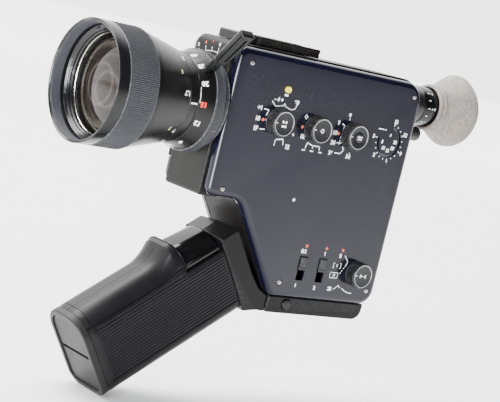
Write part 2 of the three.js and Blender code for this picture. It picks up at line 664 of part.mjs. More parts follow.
function addShutter() {
  const sector = new THREE.Shape();
  sector.moveTo(0, 0);
  sector.absarc(0, 0, shutter.radius, Math.PI * 0.05, Math.PI * 0.95, false);
  sector.closePath();
  const blade = prism(sector, [shutter.x, shutter.x + shutter.thickness]).translate([0, 0, shutter.z]);
  const hub = rod('x', [shutter.x - 1.6, shutter.x + 6], 2.4, [0, shutter.z]);
  addPart('shutter_disc', join(blade, hub), dialBlack);
}

addSideCover();
addScrews();
addCentreFrame();
addFrontHousing();
addFilmDoor();
addDoorLatch();
addDoorHinge();
addBase();
addAccessoryRail();
addSignalLamp();
addLens();
addZoomRing();
addZoomLever();
addControls();
addEyepiece();
addEyecup();
addGrip();
addBracket();
addFoldPin();
addTrigger();
addBatteries();
addBatteryCap();
addFilmBay();
addDriveTrain();
addShutter();

export default group;
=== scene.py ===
import math
import random

import bmesh
import bpy
from mathutils import Matrix, Vector


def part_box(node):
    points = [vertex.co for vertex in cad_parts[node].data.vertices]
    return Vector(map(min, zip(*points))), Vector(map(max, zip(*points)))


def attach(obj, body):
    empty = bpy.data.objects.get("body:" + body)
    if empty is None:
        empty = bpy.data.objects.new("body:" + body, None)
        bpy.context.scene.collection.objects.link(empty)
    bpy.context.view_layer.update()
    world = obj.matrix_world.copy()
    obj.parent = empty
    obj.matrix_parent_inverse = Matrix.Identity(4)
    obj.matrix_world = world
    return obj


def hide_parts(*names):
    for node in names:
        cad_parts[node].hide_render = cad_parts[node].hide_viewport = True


# Looks of the cine camera: every CAD node gets a finer piece or a finish of its own.

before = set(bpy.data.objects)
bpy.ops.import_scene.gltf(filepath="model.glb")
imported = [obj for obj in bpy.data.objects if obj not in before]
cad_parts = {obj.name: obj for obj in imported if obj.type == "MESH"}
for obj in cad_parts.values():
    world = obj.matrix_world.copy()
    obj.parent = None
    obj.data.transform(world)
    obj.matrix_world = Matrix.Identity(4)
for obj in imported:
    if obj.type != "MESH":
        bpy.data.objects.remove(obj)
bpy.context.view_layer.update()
mm = 0.001
random.seed(8)


def centreOf(node):
    low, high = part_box(node)
    return (low + high) / 2 / mm


def boxOf(node):
    low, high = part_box(node)
    return low / mm, high / mm


# a socket that does sums with + - * / and **
class Wire:
    def __init__(self, tree, socket):
        self.tree = tree
        self.socket = socket

    def math(self, operation, *values):
        node = self.tree.nodes.new("ShaderNodeMath")
        node.operation = operation
        for slot, value in zip(node.inputs, values):
            if isinstance(value, Wire):
                self.tree.links.new(value.socket, slot)
            else:
                slot.default_value = value
        return Wire(self.tree, node.outputs[0])

    def __add__(self, other):
        return self.math("ADD", self, other)

    def __radd__(self, other):
        return self.math("ADD", other, self)

    def __sub__(self, other):
        return self.math("SUBTRACT", self, other)

    def __rsub__(self, other):
        return self.math("SUBTRACT", other, self)

    def __mul__(self, other):
        return self.math("MULTIPLY", self, other)

    def __rmul__(self, other):
        return self.math("MULTIPLY", other, self)

    def __truediv__(self, other):
        return self.math("DIVIDE", self, other)

    def __pow__(self, other):
        return self.math("POWER", self, other)

    def above(self, level, softness=0.05):
        rise = (self - (level - softness)) / (2 * softness)
        return rise.math("MINIMUM", rise.math("MAXIMUM", rise, 0.0), 1.0)


class Finish:
    def __init__(self, name):
        self.material = bpy.data.materials.new(name)
        self.material.use_nodes = True
        self.tree = self.material.node_tree
        self.shader = self.tree.nodes["Principled BSDF"]
        self.place = self.node("TexCoord", output="Object")

    def plug(self, socket, value):
        if isinstance(value, Wire):
            self.tree.links.new(value.socket, socket)
        else:
            socket.default_value = value

    def node(self, kind, settings=None, inputs=None, output=0):
        node = self.tree.nodes.new("ShaderNode" + kind)
        for key, value in (settings or {}).items():
            if key == "stops":
                ramp = node.color_ramp.elements
                for position, colour in value[2:]:
                    ramp.new(position)
                for stop, (position, colour) in zip(ramp, sorted(value)):
                    stop.position = position
                    stop.color = rgba(colour)
            else:
                setattr(node, key, value)
        for key, value in (inputs or {}).items():
            self.plug(node.inputs[key], value)
        return Wire(self.tree, node.outputs[output])

    def noise(self, size, detail=3.0, roughness=0.55, stretch=None, distortion=0.0):
        where = self.place
        if stretch:
            where = self.node("Mapping", inputs={"Vector": self.place, "Scale": stretch})
        return self.node("TexNoise", inputs={
            "Vector": where, "Scale": 1.0 / (size * mm), "Detail": detail,
            "Roughness": roughness, "Distortion": distortion})

    def mix(self, factor, first, second):
        return self.node("Mix", {"data_type": "RGBA"}, {0: factor, 6: rgba(first), 7: rgba(second)}, 2)

    def bump(self, height, distance, strength=1.0):
        return self.node("Bump", inputs={"Height": height, "Distance": distance * mm, "Strength": strength})

    def set(self, **values):
        names = {"colour": "Base Color", "coat": "Coat Weight", "coatRoughness": "Coat Roughness",
                 "specular": "Specular IOR Level", "sheen": "Sheen Weight",
                 "glow": "Emission Color", "glowStrength": "Emission Strength"}
        for key, value in values.items():
            socket = self.shader.inputs[names.get(key, key.capitalize())]
            self.plug(socket, rgba(value) if key in ("colour", "glow") else value)
        return self.material


def rgba(colour):
    if isinstance(colour, Wire) or len(colour) == 4:
        return colour
    return (*colour, 1.0)


def wornPlastic(name, look):
    # grain: size and depth of the moulded or painted texture, in mm; dust: share of pale specks
    finish = Finish(name)
    broad = finish.noise(look.get("patch", 18), 4)
    fine = finish.noise(look["grain"], 2)
    specks = finish.noise(0.45, 2, 0.6).above(look.get("dust", 0.74), 0.015)
    edge = finish.node("NewGeometry", output="Pointiness").above(look.get("edgeFrom", 0.57), 0.04)
    wear = edge * finish.noise(1.6, 3).above(0.5, 0.14) * look.get("wear", 0.35)
    base = finish.mix(broad.above(0.5, 0.22), look["colour"], look["shade"])
    worn = finish.mix(wear, base, look.get("worn", (0.16, 0.16, 0.16)))
    dusty = finish.mix(specks * 0.5, worn, (0.32, 0.31, 0.29))
    smudge = finish.noise(9, 3, 0.6, distortion=0.6)
    rough = look["roughness"] + (smudge - 0.5) * look.get("smudge", 0.16) + specks * 0.2
    height = fine * look.get("relief", 1.0) + specks * 0.3
    return finish.set(colour=dusty, roughness=rough, metallic=look.get("metal", 0.0),
                      specular=look.get("specular", 0.38), coat=look.get("coat", 0.0), coatRoughness=0.08,
                      normal=finish.bump(height, look["depth"]))


def brushedMetal(name, look):
    finish = Finish(name)
    lines = finish.noise(0.25, 2, stretch=look.get("stretch", (1, 1, 1)))
    tarnish = finish.noise(4, 4, 0.6)
    colour = finish.mix(tarnish.above(0.55, 0.2), look["colour"], look["shade"])
    rough = look["roughness"] + (tarnish - 0.5) * 0.2 + (lines - 0.5) * 0.1
    return finish.set(colour=colour, roughness=rough, metallic=1.0,
                      normal=finish.bump(lines, look.get("depth", 0.01)))


def coatedGlass(name, look):
    # painted reflections: rings of the elements behind, whose lighter bands are painted light caught in the
    # glass, and curved painted reflection streaks about a second, shifted middle
    finish = Finish(name)

    def reachFrom(middle):
        away = finish.node("VectorMath", {"operation": "SUBTRACT"},
            {0: finish.place, 1: Vector(middle) * mm})
        across = finish.node("VectorMath", {"operation": "MULTIPLY"}, {0: away, 1: (0.0, 1.0, 1.0)})
        return finish.node("VectorMath", {"operation": "LENGTH"}, {0: across},
            "Value") / (look["radius"] * mm)

    rings = finish.node("ValToRGB", {"stops": look["rings"]}, {"Fac": reachFrom(look["middle"])})
    haze = (finish.noise(5, 4, 0.65, distortion=1.2) - 0.5) * 0.16
    reflectionStreaks = finish.node("ValToRGB", {"stops": look["reflectionStreaks"]},
        {"Fac": reachFrom(look["shifted"]) + haze})
    dust = finish.noise(0.6, 3).above(0.74, 0.03)
    colour = finish.mix(dust * 0.3, finish.mix(0.5, rings, reflectionStreaks), (0.3, 0.3, 0.27))
    return finish.set(colour=colour, roughness=look["roughness"] + dust * 0.3, metallic=look["metal"],
                      specular=look["specular"], coat=look["coat"], coatRoughness=0.02,
                      normal=finish.bump(finish.noise(6, 1), 0.004))


def agedRubber(name, look):
    finish = Finish(name)
    cloud = finish.noise(13, 5, 0.62, distortion=0.8)
    blotch = finish.noise(5, 5, 0.65, distortion=1.4)
    grey = finish.mix(cloud.above(0.5, 0.16), look["tan"], look["grey"])
    brown = finish.mix(blotch.above(0.56, 0.12) * 0.6, grey, look["brown"])
    bloom = finish.mix(finish.noise(2.2, 4, 0.7).above(0.6, 0.1) * 0.5, brown, look["bloom"])
    cracks = finish.node("TexVoronoi", {"feature": "DISTANCE_TO_EDGE"},
                         {"Vector": finish.place, "Scale": 480.0, "Randomness": 1.0}, "Distance")
    craze = 1.0 - cracks.above(0.05, 0.04)
    colour = finish.mix(craze * 0.3, bloom, look["crack"])
    height = finish.noise(0.5, 3) * 0.5 + blotch * 1.2 - craze * 0.4
    return finish.set(colour=colour, roughness=0.62 + cloud * 0.25, specular=0.4,
                      sheen=0.15, normal=finish.bump(height, 0.09))


def printInk(name, colour):
    finish = Finish(name)
    gaps = finish.noise(0.35, 3, 0.7).above(0.74, 0.05)
    ink = finish.mix(gaps * 0.6, colour, tuple(channel * 0.55 for channel in colour))
    return finish.set(colour=ink, roughness=0.5 + gaps * 0.2, normal=finish.bump(gaps, 0.01))


def clearLamp(name, colour):
    finish = Finish(name)
    facets = finish.node("TexVoronoi", inputs={"Vector": finish.place, "Scale": 900.0}, output="Distance")
    glow = finish.mix(facets.above(0.4, 0.3), colour, tuple(min(1.0,
        channel * 2.2 + 0.02) for channel in colour))
    return finish.set(colour=glow, roughness=0.08 + facets * 0.1, coat=1.0, glow=glow, glowStrength=0.25,
                      normal=finish.bump(facets, 0.05))


finishes = {
    "coverPaint": wornPlastic("coverPaint", {"colour": (0.003, 0.003, 0.0095),
        "shade": (0.0038, 0.0038, 0.0115), "specular": 0.3, "roughness": 0.17, "grain": 0.3,
        "depth": 0.0004, "coat": 0.18, "dust": 0.86, "wear": 0.1, "smudge": 0.04, "patch": 30}),
    "housingPlastic": wornPlastic("housingPlastic",
        {"colour": (0.006, 0.006, 0.0052), "shade": (0.009, 0.009, 0.0078), "specular": 0.16,
        "roughness": 0.5, "grain": 0.3, "depth": 0.02, "dust": 0.74, "wear": 0.1}),
    "frameMetal": wornPlastic("frameMetal", {"colour": (0.003, 0.0026, 0.0023),
        "shade": (0.005, 0.0042, 0.0036), "specular": 0.1, "roughness": 0.42, "grain": 0.25,
        "depth": 0.01, "wear": 0.1, "worn": (0.2, 0.18, 0.16)}),
    "barrelBlack": wornPlastic("barrelBlack", {"colour": (0.003, 0.003, 0.0028),
        "shade": (0.005, 0.0047, 0.0043), "specular": 0.3, "roughness": 0.3, "grain": 0.5, "depth": 0.003,
        "smudge": 0.14, "wear": 0.4, "dust": 0.75}),
    "gripRing": wornPlastic("gripRing", {"colour": (0.026, 0.026, 0.03), "shade": (0.035, 0.035, 0.04),
        "specular": 0.25, "roughness": 0.5, "grain": 0.3, "depth": 0.01, "metal": 0.15, "wear": 0.6,
        "worn": (0.3, 0.31, 0.33), "dust": 0.7}),
    "flangeMetal": wornPlastic("flangeMetal", {"colour": (0.34, 0.34, 0.35), "shade": (0.42, 0.42, 0.43),
        "roughness": 0.28, "grain": 0.3, "depth": 0.01, "metal": 0.5, "wear": 0.6,
        "worn": (0.45, 0.45, 0.45)}),
    "rimBlack": wornPlastic("rimBlack", {"colour": (0.0035, 0.0035, 0.004),
        "shade": (0.006, 0.006, 0.0065), "specular": 0.3, "roughness": 0.2, "grain": 0.6, "depth": 0.003,
        "wear": 0.5, "worn": (0.2, 0.2, 0.2), "smudge": 0.12}),
    "threadGrey": wornPlastic("threadGrey", {"colour": (0.032, 0.032, 0.039),
        "shade": (0.045, 0.045, 0.054), "roughness": 0.5, "grain": 0.3, "specular": 0.3, "depth": 0.01,
        "metal": 0.1, "wear": 0.5, "worn": (0.3, 0.3, 0.32)}),
    "dialPlastic": wornPlastic("dialPlastic", {"colour": (0.010, 0.010, 0.011),
        "shade": (0.015, 0.015, 0.016), "roughness": 0.26, "grain": 0.3, "depth": 0.006, "wear": 0.08,
        "worn": (0.22, 0.22, 0.22), "edgeFrom": 0.55}),
    "gripPlastic": wornPlastic("gripPlastic", {"colour": (0.005, 0.0049, 0.0054),
        "shade": (0.007, 0.0067, 0.0073), "specular": 0.17, "roughness": 0.4, "grain": 0.35,
        "depth": 0.018, "wear": 0.08, "dust": 0.74}),
    "glossBlack": wornPlastic("glossBlack", {"colour": (0.003, 0.003, 0.003),
        "shade": (0.0045, 0.0045, 0.0045), "specular": 0.28, "roughness": 0.16, "grain": 0.8,
        "depth": 0.002, "wear": 0.1, "smudge": 0.16}),
    "capPlastic": wornPlastic("capPlastic", {"colour": (0.011, 0.010, 0.0094),
        "shade": (0.015, 0.0138, 0.013), "specular": 0.2, "roughness": 0.46, "grain": 0.3, "depth": 0.02,
        "wear": 0.2, "worn": (0.3, 0.29, 0.28)}),
    "discGrey": wornPlastic("discGrey", {"colour": (0.16, 0.16, 0.17), "shade": (0.2, 0.2, 0.21),
        "roughness": 0.5, "grain": 0.3, "depth": 0.01}),
    "bracketBlack": wornPlastic("bracketBlack", {"colour": (0.004, 0.0039, 0.0043),
        "shade": (0.0058, 0.0056, 0.006), "specular": 0.17, "roughness": 0.33, "grain": 0.3,
        "depth": 0.012, "wear": 0.1, "dust": 0.745}),
    "darkInside": wornPlastic("darkInside", {"colour": (0.012, 0.012, 0.012), "shade": (0.02, 0.02, 0.02),
        "roughness": 0.6, "grain": 0.4, "depth": 0.02}),
    "steel": brushedMetal("steel", {"colour": (0.62, 0.6, 0.57), "shade": (0.42, 0.39, 0.35),
        "roughness": 0.28}),
    "zinc": brushedMetal("zinc", {"colour": (0.36, 0.36, 0.37), "shade": (0.26, 0.26, 0.27),
        "roughness": 0.45}),
    "brass": brushedMetal("brass", {"colour": (0.62, 0.44, 0.18), "shade": (0.4, 0.27, 0.1),
        "roughness": 0.32}),
    "brightRing": brushedMetal("brightRing", {"colour": (0.75, 0.68, 0.56), "shade": (0.5, 0.45, 0.38),
        "roughness": 0.22}),
    # front lens colour: dark rings and streaks with lighter painted reflection bands
    "glass": coatedGlass("glass", {"rings": [(0.0, (0.0175, 0.0126, 0.0105)),
        (0.36, (0.0123, 0.00875, 0.007)), (0.41, (0.07, 0.056, 0.0473)), (0.46, (0.0105, 0.0077, 0.0063)),
        (0.7, (0.0175, 0.0133, 0.0105)), (0.84, (0.105, 0.091, 0.077)), (0.88, (0.014, 0.0123, 0.0098)),
        (1.0, (0.0042, 0.00385, 0.0035))], "reflectionStreaks": [(0.0, (0.0245, 0.0175, 0.014)),
        (0.28, (0.014, 0.0105, 0.0084)), (0.34, (0.0662, 0.0567, 0.0486)),
        (0.4, (0.0175, 0.0126, 0.0105)), (0.62, (0.0105, 0.0077, 0.0063)),
        (0.68, (0.0378, 0.0315, 0.0268)), (0.75, (0.007, 0.0056, 0.00455))], "roughness": 0.05,
        "metal": 0.1, "specular": 0.15, "coat": 0.3, "middle": (0, 0, 110.7), "shifted": (0, -7, 108.7),
        "radius": 27}),
    # eyepiece lens colour: rings and streaks with lighter painted reflection bands
    "innerGlass": coatedGlass("innerGlass", {"rings": [(0.0, (0.08, 0.06, 0.1)),
        (0.6, (0.05, 0.04, 0.07)), (0.85, (0.12, 0.1, 0.15)), (1.0, (0.03, 0.03, 0.04))],
        "reflectionStreaks": [(0.0, (0.1, 0.08, 0.12)), (0.5, (0.03, 0.03, 0.05)), (0.8, (0.14, 0.12, 0.17)),
        (1.0, (0.03, 0.03, 0.04))], "roughness": 0.06, "metal": 0.4, "specular": 0.3, "coat": 0.6,
        "middle": (0, 0, 133.4), "shifted": (0, 2, 135), "radius": 8}),
    "rubber": agedRubber("rubber", {"tan": (0.27, 0.225, 0.18), "grey": (0.17, 0.165, 0.16),
        "brown": (0.13, 0.095, 0.07), "bloom": (0.42, 0.39, 0.35), "crack": (0.1, 0.085, 0.07)}),
    "whiteInk": printInk("whiteInk", (0.9, 0.9, 0.88)),
    "orangeInk": printInk("orangeInk", (0.72, 0.13, 0.07)),
    "redInk": printInk("redInk", (0.75, 0.06, 0.035)),
    "greenInk": printInk("greenInk", (0.42, 0.55, 0.2)),
    "yellowCap": printInk("yellowCap", (0.9, 0.76, 0.05)),
    "lampRed": clearLamp("lampRed", (0.35, 0.01, 0.035)),
}
print("finishes ready:", len(finishes))


# mesh helpers; all their sizes are in mm
def newObject(name, points, faces, finish, sharp=32):
    mesh = bpy.data.meshes.new(name)
    mesh.from_pydata([Vector(p) * mm for p in points], [], faces)
    item = bpy.data.objects.new(name, mesh)
    bpy.context.scene.collection.objects.link(item)
    mesh.materials.append(finishes[finish])
    tidyNormals(item, sharp)
    return item


def tidyNormals(item, sharp=32):
    work = bmesh.new()
    work.from_mesh(item.data)
    bmesh.ops.remove_doubles(work, verts=work.verts, dist=1e-7)
    bmesh.ops.recalc_face_normals(work, faces=work.faces)
    limit = math.radians(sharp)
    for face in work.faces:
        face.smooth = True
    for edge in work.edges:
        edge.smooth = len(edge.link_faces) == 2 and edge.calc_face_angle(0) < limit
    work.to_mesh(item.data)
    work.free()


def applyModifiers(item):
    graph = bpy.context.evaluated_depsgraph_get()
    mesh = bpy.data.meshes.new_from_object(item.evaluated_get(graph))
    item.modifiers.clear()
    item.data = mesh


def weigh(item):
    change = item.modifiers.new("normals", "WEIGHTED_NORMAL")
    change.keep_sharp = True
    change.weight = 80
    applyModifiers(item)


def carve(item, cutters, edge=0.0, sharp=32):
    for cutter in cutters:
        change = item.modifiers.new("cut", "BOOLEAN")
        change.object = cutter
        change.solver = "EXACT"
    applyModifiers(item)
    for cutter in cutters:
        bpy.data.objects.remove(cutter)
    if edge:
        change = item.modifiers.new("edge", "BEVEL")
        change.width = edge * mm
        change.segments = 2
        change.limit_method = "ANGLE"
        change.angle_limit = math.radians(40)
        applyModifiers(item)
    tidyNormals(item, sharp)
    weigh(item)
    return item


def joined(name, items):
    work = bmesh.new()
    finishNames = []
    for item in items:
        material = item.data.materials[0]
        if material not in finishNames:
            finishNames.append(material)
        start = len(work.faces)
        work.from_mesh(item.data)
        work.faces.ensure_lookup_table()
        for face in work.faces[start:]:
            face.material_index = finishNames.index(material)
    mesh = bpy.data.meshes.new(name)
    work.to_mesh(mesh)
    work.free()
    for material in finishNames:
        mesh.materials.append(material)
    whole = bpy.data.objects.new(name, mesh)
    bpy.context.scene.collection.objects.link(whole)
    for item in items:
        bpy.data.objects.remove(item)
    return whole


def settle(item, body, slot, *nodes):
    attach(item, body)
    if nodes:
        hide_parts(*nodes)
    return item


def rounded(corners, steps=8):
    # corners are (x, z, radius), anticlockwise seen from -Y; every corner gives the same count of points
    points = []
    for index, (x, z, radius) in enumerate(corners):
        here = Vector((x, z))
        back = (Vector(corners[index - 1][:2]) - here).normalized()
        ahead = (Vector(corners[(index + 1) % len(corners)][:2]) - here).normalized()
        half = back.angle(ahead) / 2
        radius = max(radius, 0.01)
        centre = here + (back + ahead).normalized() * (radius / math.sin(half))
        start = here + back * (radius / math.tan(half)) - centre
        end = here + ahead * (radius / math.tan(half)) - centre
        turn = start.angle_signed(end)
        for step in range(steps + 1):
            spun = start.copy()
            spun.rotate(Matrix.Rotation(-turn * step / steps, 2))
            points.append(centre + spun)
    return points


def insetCorners(corners, distance):
    edges = []
    for index, (x, z, radius) in enumerate(corners):
        nextX, nextZ = corners[(index + 1) % len(corners)][:2]
        along = Vector((nextX - x, nextZ - z)).normalized()
        edges.append((along, Vector((x - along.y * distance, z + along.x * distance))))
    result = []
    for index, corner in enumerate(corners):
        (firstAlong, firstPoint), (secondAlong, secondPoint) = edges[index - 1], edges[index]
        gap = secondPoint - firstPoint
        turn = firstAlong.x * secondAlong.y - firstAlong.y * secondAlong.x
        step = (gap.x * secondAlong.y - gap.y * secondAlong.x) / turn
        crossing = firstPoint + firstAlong * step
        radius = max(corner[2] - distance, 0.02) if turn > 0 else corner[2] + distance
        result.append((crossing.x, crossing.y, radius))
    return result


def slabMesh(name, corners, nearY, farY, finish, nearRim=0.0, farRim=0.0, steps=8, rimSteps=5, place=None,
        sharp=32):
    # an outline raised along Y whose two rims are rounded over
    rings = []
    if nearRim:
        for step in range(rimSteps):
            angle = math.pi / 2 * step / rimSteps
            rings.append((nearY + nearRim * (1 - math.cos(angle)), nearRim * (1 - math.sin(angle))))
    rings.append((nearY + nearRim, 0.0))
    rings.append((farY - farRim, 0.0))
    if farRim:
        for step in reversed(range(rimSteps)):
            angle = math.pi / 2 * step / rimSteps
            rings.append((farY - farRim * (1 - math.cos(angle)), farRim * (1 - math.sin(angle))))
    place = place or (lambda x, y, z: (x, y, z))
    points = []
    for y, inset in rings:
        points += [place(p.x, y, p.y) for p in rounded(insetCorners(corners, inset) if inset else corners,
            steps)]
    count = len(points) // len(rings)
    faces = [list(range(count))]
    for ring in range(len(rings) - 1):
        for index in range(count):
            after = (index + 1) % count
            faces.append((ring * count + index, ring * count + after,
                          (ring + 1) * count + after, (ring + 1) * count + index))
    faces.append(list(reversed(range((len(rings) - 1) * count, len(rings) * count))))
    return newObject(name, points, faces, finish, sharp)


def turnedMesh(name, axis, profile, centre, finish, steps=96, wave=None, sharp=32):
    # profile is (station, radius) along +axis for the outside and back for the bore; wave adds to a radius
    onAxis = [radius < 1e-6 for station, radius in profile]
    points = []
    rows = []
    for index, (station, radius) in enumerate(profile):
        row = []
        for step in range(1 if onAxis[index] else steps):
            angle = 2 * math.pi * step / steps
            reach = radius + (wave(station, radius, angle) if wave and not onAxis[index] else 0.0)
            across, up = reach * math.cos(angle), reach * math.sin(angle)
            row.append(len(points))
            if axis == "x":
                points.append((station, centre[0] + across, centre[1] + up))
            else:
                points.append((centre[0] + across, station, centre[1] + up))
        rows.append(row)
    faces = []
    closed = not (onAxis[0] and onAxis[-1])
    for index in range(len(profile) if closed else len(profile) - 1):
        lower, upper = rows[index], rows[(index + 1) % len(profile)]
        for step in range(steps):
            after = (step + 1) % steps
            if len(lower) == 1 and len(upper) == 1:
                continue
            elif len(lower) == 1:
                faces.append((lower[0], upper[after], upper[step]))
            elif len(upper) == 1:
                faces.append((lower[step], lower[after], upper[0]))
            else:
                faces.append((lower[step], lower[after], upper[after], upper[step]))
    return newObject(name, points, faces, finish, sharp)


def softProfile(corners, steps=4):
    # corners are (station, radius, fillet); a fillet of 0 stays sharp, and ends on the axis stay put
    points = []
    count = len(corners)
    for index, (station, radius, fillet) in enumerate(corners):
        here = Vector((station, radius))
        atEnd = radius == 0 and index in (0, count - 1)
        if fillet == 0 or atEnd:
            points.append((station, radius))
            continue
        back = (Vector(corners[index - 1][:2]) - here).normalized()
        ahead = (Vector(corners[(index + 1) % count][:2]) - here).normalized()
        half = back.angle(ahead) / 2
        reach = fillet / math.tan(half)
        centre = here + (back + ahead).normalized() * (fillet / math.sin(half))
        start = here + back * reach - centre
        turn = start.angle_signed(here + ahead * reach - centre)
        for step in range(steps + 1):
            spun = start.copy()
            spun.rotate(Matrix.Rotation(-turn * step / steps, 2))
            points.append(tuple(centre + spun))
    return points


def rodMesh(name, axis, start, end, radius, centre, finish="darkInside", steps=40):
    return turnedMesh(name, axis, [(start, 0), (start, radius), (end, radius), (end, 0)], centre, finish,
        steps)


def blockMesh(name, low, high, finish="darkInside", edge=0.0, place=None):
    corners = [(low[0], high[2], edge), (low[0], low[2], edge), (high[0], low[2], edge),
        (high[0], high[2], edge)]
    rim = min(edge, (high[1] - low[1]) / 2 * 0.98)
    return slabMesh(name, corners, low[1], high[1], finish, rim * 0.96, rim * 0.96, steps=4, rimSteps=3,
        place=place)



# printed marks are flat shapes, (points, faces) in the plane of the print
def barShape(a, b, width, height, turn=0.0):
    c, s = math.cos(math.radians(turn)), math.sin(math.radians(turn))
    pieces = max(1, int(width / 1.2))
    points = []
    for index in range(pieces + 1):
        for side in (-0.5, 0.5):
            u, v = (index / pieces - 0.5) * width, side * height
            points.append((a + u * c - v * s, b + u * s + v * c))
    faces = [(2 * n, 2 * n + 2, 2 * n + 3, 2 * n + 1) for n in range(pieces)]
    return points, faces


def dotShape(a, b, radius, bore=0.0, steps=28):
    outer = [(a + radius * math.cos(2 * math.pi * n / steps), b + radius * math.sin(2 * math.pi * n / steps))
        for n in range(steps)]
    if not bore:
        return outer, [tuple(range(steps))]
    inner = [(a + bore * math.cos(2 * math.pi * n / steps), b + bore * math.sin(2 * math.pi * n / steps))
        for n in range(steps)]
    return outer + inner, [(n, (n + 1) % steps, steps + (n + 1) % steps, steps + n) for n in range(steps)]


def arcShape(a, b, radius, width, start, end):
    steps = max(4, int(abs(end - start) / 5))
    points = []
    for n in range(steps + 1):
        angle = math.radians(start + (end - start) * n / steps)
        for reach in (radius - width / 2, radius + width / 2):
            points.append((a + reach * math.cos(angle), b + reach * math.sin(angle)))
    return points, [(2 * n, 2 * n + 1, 2 * n + 3, 2 * n + 2) for n in range(steps)]


def lineShapes(path, width):
    shapes = []
    for (a0, b0), (a1, b1) in zip(path, path[1:]):
        length = math.hypot(a1 - a0, b1 - b0) + width * 0.8
        turn = math.degrees(math.atan2(b1 - b0, a1 - a0))
        shapes.append(barShape((a0 + a1) / 2, (b0 + b1) / 2, length, width, turn))
    return shapes


def textShape(words, a, b, size, turn=0.0, bold=0.04):
    curve = bpy.data.curves.new("letters", "FONT")
    curve.body = words
    curve.size = size
    curve.offset = size * bold
    curve.align_x = "CENTER"
    curve.align_y = "CENTER"
    item = bpy.data.objects.new("letters", curve)
    bpy.context.scene.collection.objects.link(item)
    graph = bpy.context.evaluated_depsgraph_get()
    mesh = bpy.data.meshes.new_from_object(item.evaluated_get(graph))
    c, s = math.cos(math.radians(turn)), math.sin(math.radians(turn))
    points = [(a + p.co.x * c - p.co.y * s, b + p.co.x * s + p.co.y * c) for p in mesh.vertices]
    faces = [tuple(face.vertices) for face in mesh.polygons]
    bpy.data.objects.remove(item)
    bpy.data.meshes.remove(mesh)
    return points, faces


def printed(name, shapes, finish, place):
    points, faces = [], []
    for shapePoints, shapeFaces in shapes:
        start = len(points)
        points += [Vector(place(a, b)) * mm for a, b in shapePoints]
        faces += [tuple(start + index for index in face) for face in shapeFaces]
    mesh = bpy.data.meshes.new(name)
    mesh.from_pydata(points, [], faces)
    mesh.materials.append(finishes[finish])
    item = bpy.data.objects.new(name, mesh)
    bpy.context.scene.collection.objects.link(item)
    return item


# the casing: side cover, film door, centre frame and front housing
casing = {
    "rim": 3.6, "skin": 1.5, "wall": 2.2, "inner": 17.0, "frameRim": 0.7,
    "radii": {"top": 5.4, "nose": 4.5, "notch": 14.0, "heel": 6.0, "bottomRear": 9.5, "topRear": 12.0}}
coverLow, coverHigh = boxOf("side_cover")
doorHigh = boxOf("film_door")[1]
frameLow, frameHigh = boxOf("centre_frame")
housingLow, housingHigh = boxOf("front_housing")
noseBottom = housingLow.z + 1.3
notchX, heelX = -76.4, -39.6
radii = casing["radii"]
coverCorners = [
    (coverLow.x, coverHigh.z, radii["top"]), (coverLow.x, noseBottom, radii["nose"]),
    (notchX, noseBottom, radii["notch"]), (heelX, coverLow.z, radii["heel"]),
    (coverHigh.x, coverLow.z, radii["bottomRear"]), (coverHigh.x, coverHigh.z, radii["topRear"])]
dialX = [centreOf(name).x for name in ("mode_dial", "frame_rate_dial", "exposure_dial")]
dialZ = centreOf("mode_dial").z
soundX, soundZ = centreOf("sound_dial").x, centreOf("sound_dial").z
timerPlace = centreOf("timer_button")
counterPlace = centreOf("counter_disc")
sliderX = [centreOf("time_slider").x, centreOf("sound_slider").x]
sliderTop, sliderBottom = 35.8, 21.3


def tray(name, near, far):
    # near and far are the outer and inner Y of the shell, in either order
    outer, inner = (near, far) if near < far else (far, near)
    rims = (casing["rim"], 0.0) if abs(outer) > abs(inner) else (0.0, casing["rim"])
    shell = slabMesh(name, coverCorners, outer, inner, "coverPaint", *rims, steps=12, rimSteps=7)
    hollow = insetCorners(coverCorners, casing["wall"])
    cut = (outer + casing["skin"], inner + 1) if rims[0] else (outer - 1, inner - casing["skin"])
    return shell, slabMesh("cut", hollow, *cut, "darkInside", steps=8)


def arcCutter():
    place, radius, half = counterPlace, 8.7, 0.75
    path = []
    for reach, order in ((radius + half, 1), (radius - half, -1)):
        angles = [171 + 270 * n / 40 for n in range(41)][::order]
        path += [(place.x + reach * math.cos(math.radians(a)), place.z + reach * math.sin(math.radians(a)))
                 for a in angles]
    points = [(x, y, z) for y in (-24.0, -20.8) for x, z in path]
    count = len(path)
    faces = [tuple(range(count)), tuple(reversed(range(count, 2 * count)))]
    faces += [(n, (n + 1) % count, count + (n + 1) % count, count + n) for n in range(count)]
    return newObject("cut", points, faces, "darkInside")


def makeSideCover():
    shell, hollow = tray("sideCover", coverLow.y, -casing["inner"])
    screws = [centreOf("cover_screw_%d" % n) for n in range(1, 6)]
    cutters = [hollow, arcCutter()]
    cutters += [rodMesh("cut", "y", -24, -20, 3.4, (x, dialZ)) for x in dialX]
    cutters.append(rodMesh("cut", "y", -24, -20, 3.4, (soundX, soundZ)))
    cutters.append(rodMesh("cut", "y", -24, -20, 2.1, (timerPlace.x, timerPlace.z)))
    cutters += [rodMesh("cut", "y", -24, -20, 1.75, (place.x, place.z)) for place in screws]
    cutters += [blockMesh("cut", (x - 2.8, -24, sliderBottom), (x + 2.8, -20, sliderTop)) for x in sliderX]
    carve(shell, cutters)
    settle(shell, "camera_body", "cover_black", "side_cover")


def makeFilmDoor():
    shell, hollow = tray("filmDoor", doorHigh.y, casing["inner"])
    hingeLow, hingeHigh = boxOf("door_hinge")
    latchLow = boxOf("door_latch")[0]
    hingeGap = blockMesh("cut", (-103, 16, hingeLow.z - 0.3), (hingeHigh.x + 0.6, 24, hingeHigh.z + 0.3))
    latchGap = blockMesh("cut", (latchLow.x - 0.5, 16, 70), (44, 24, 88))
    carve(shell, [hollow, hingeGap, latchGap])
    settle(shell, "film_door", "cover_black", "film_door")


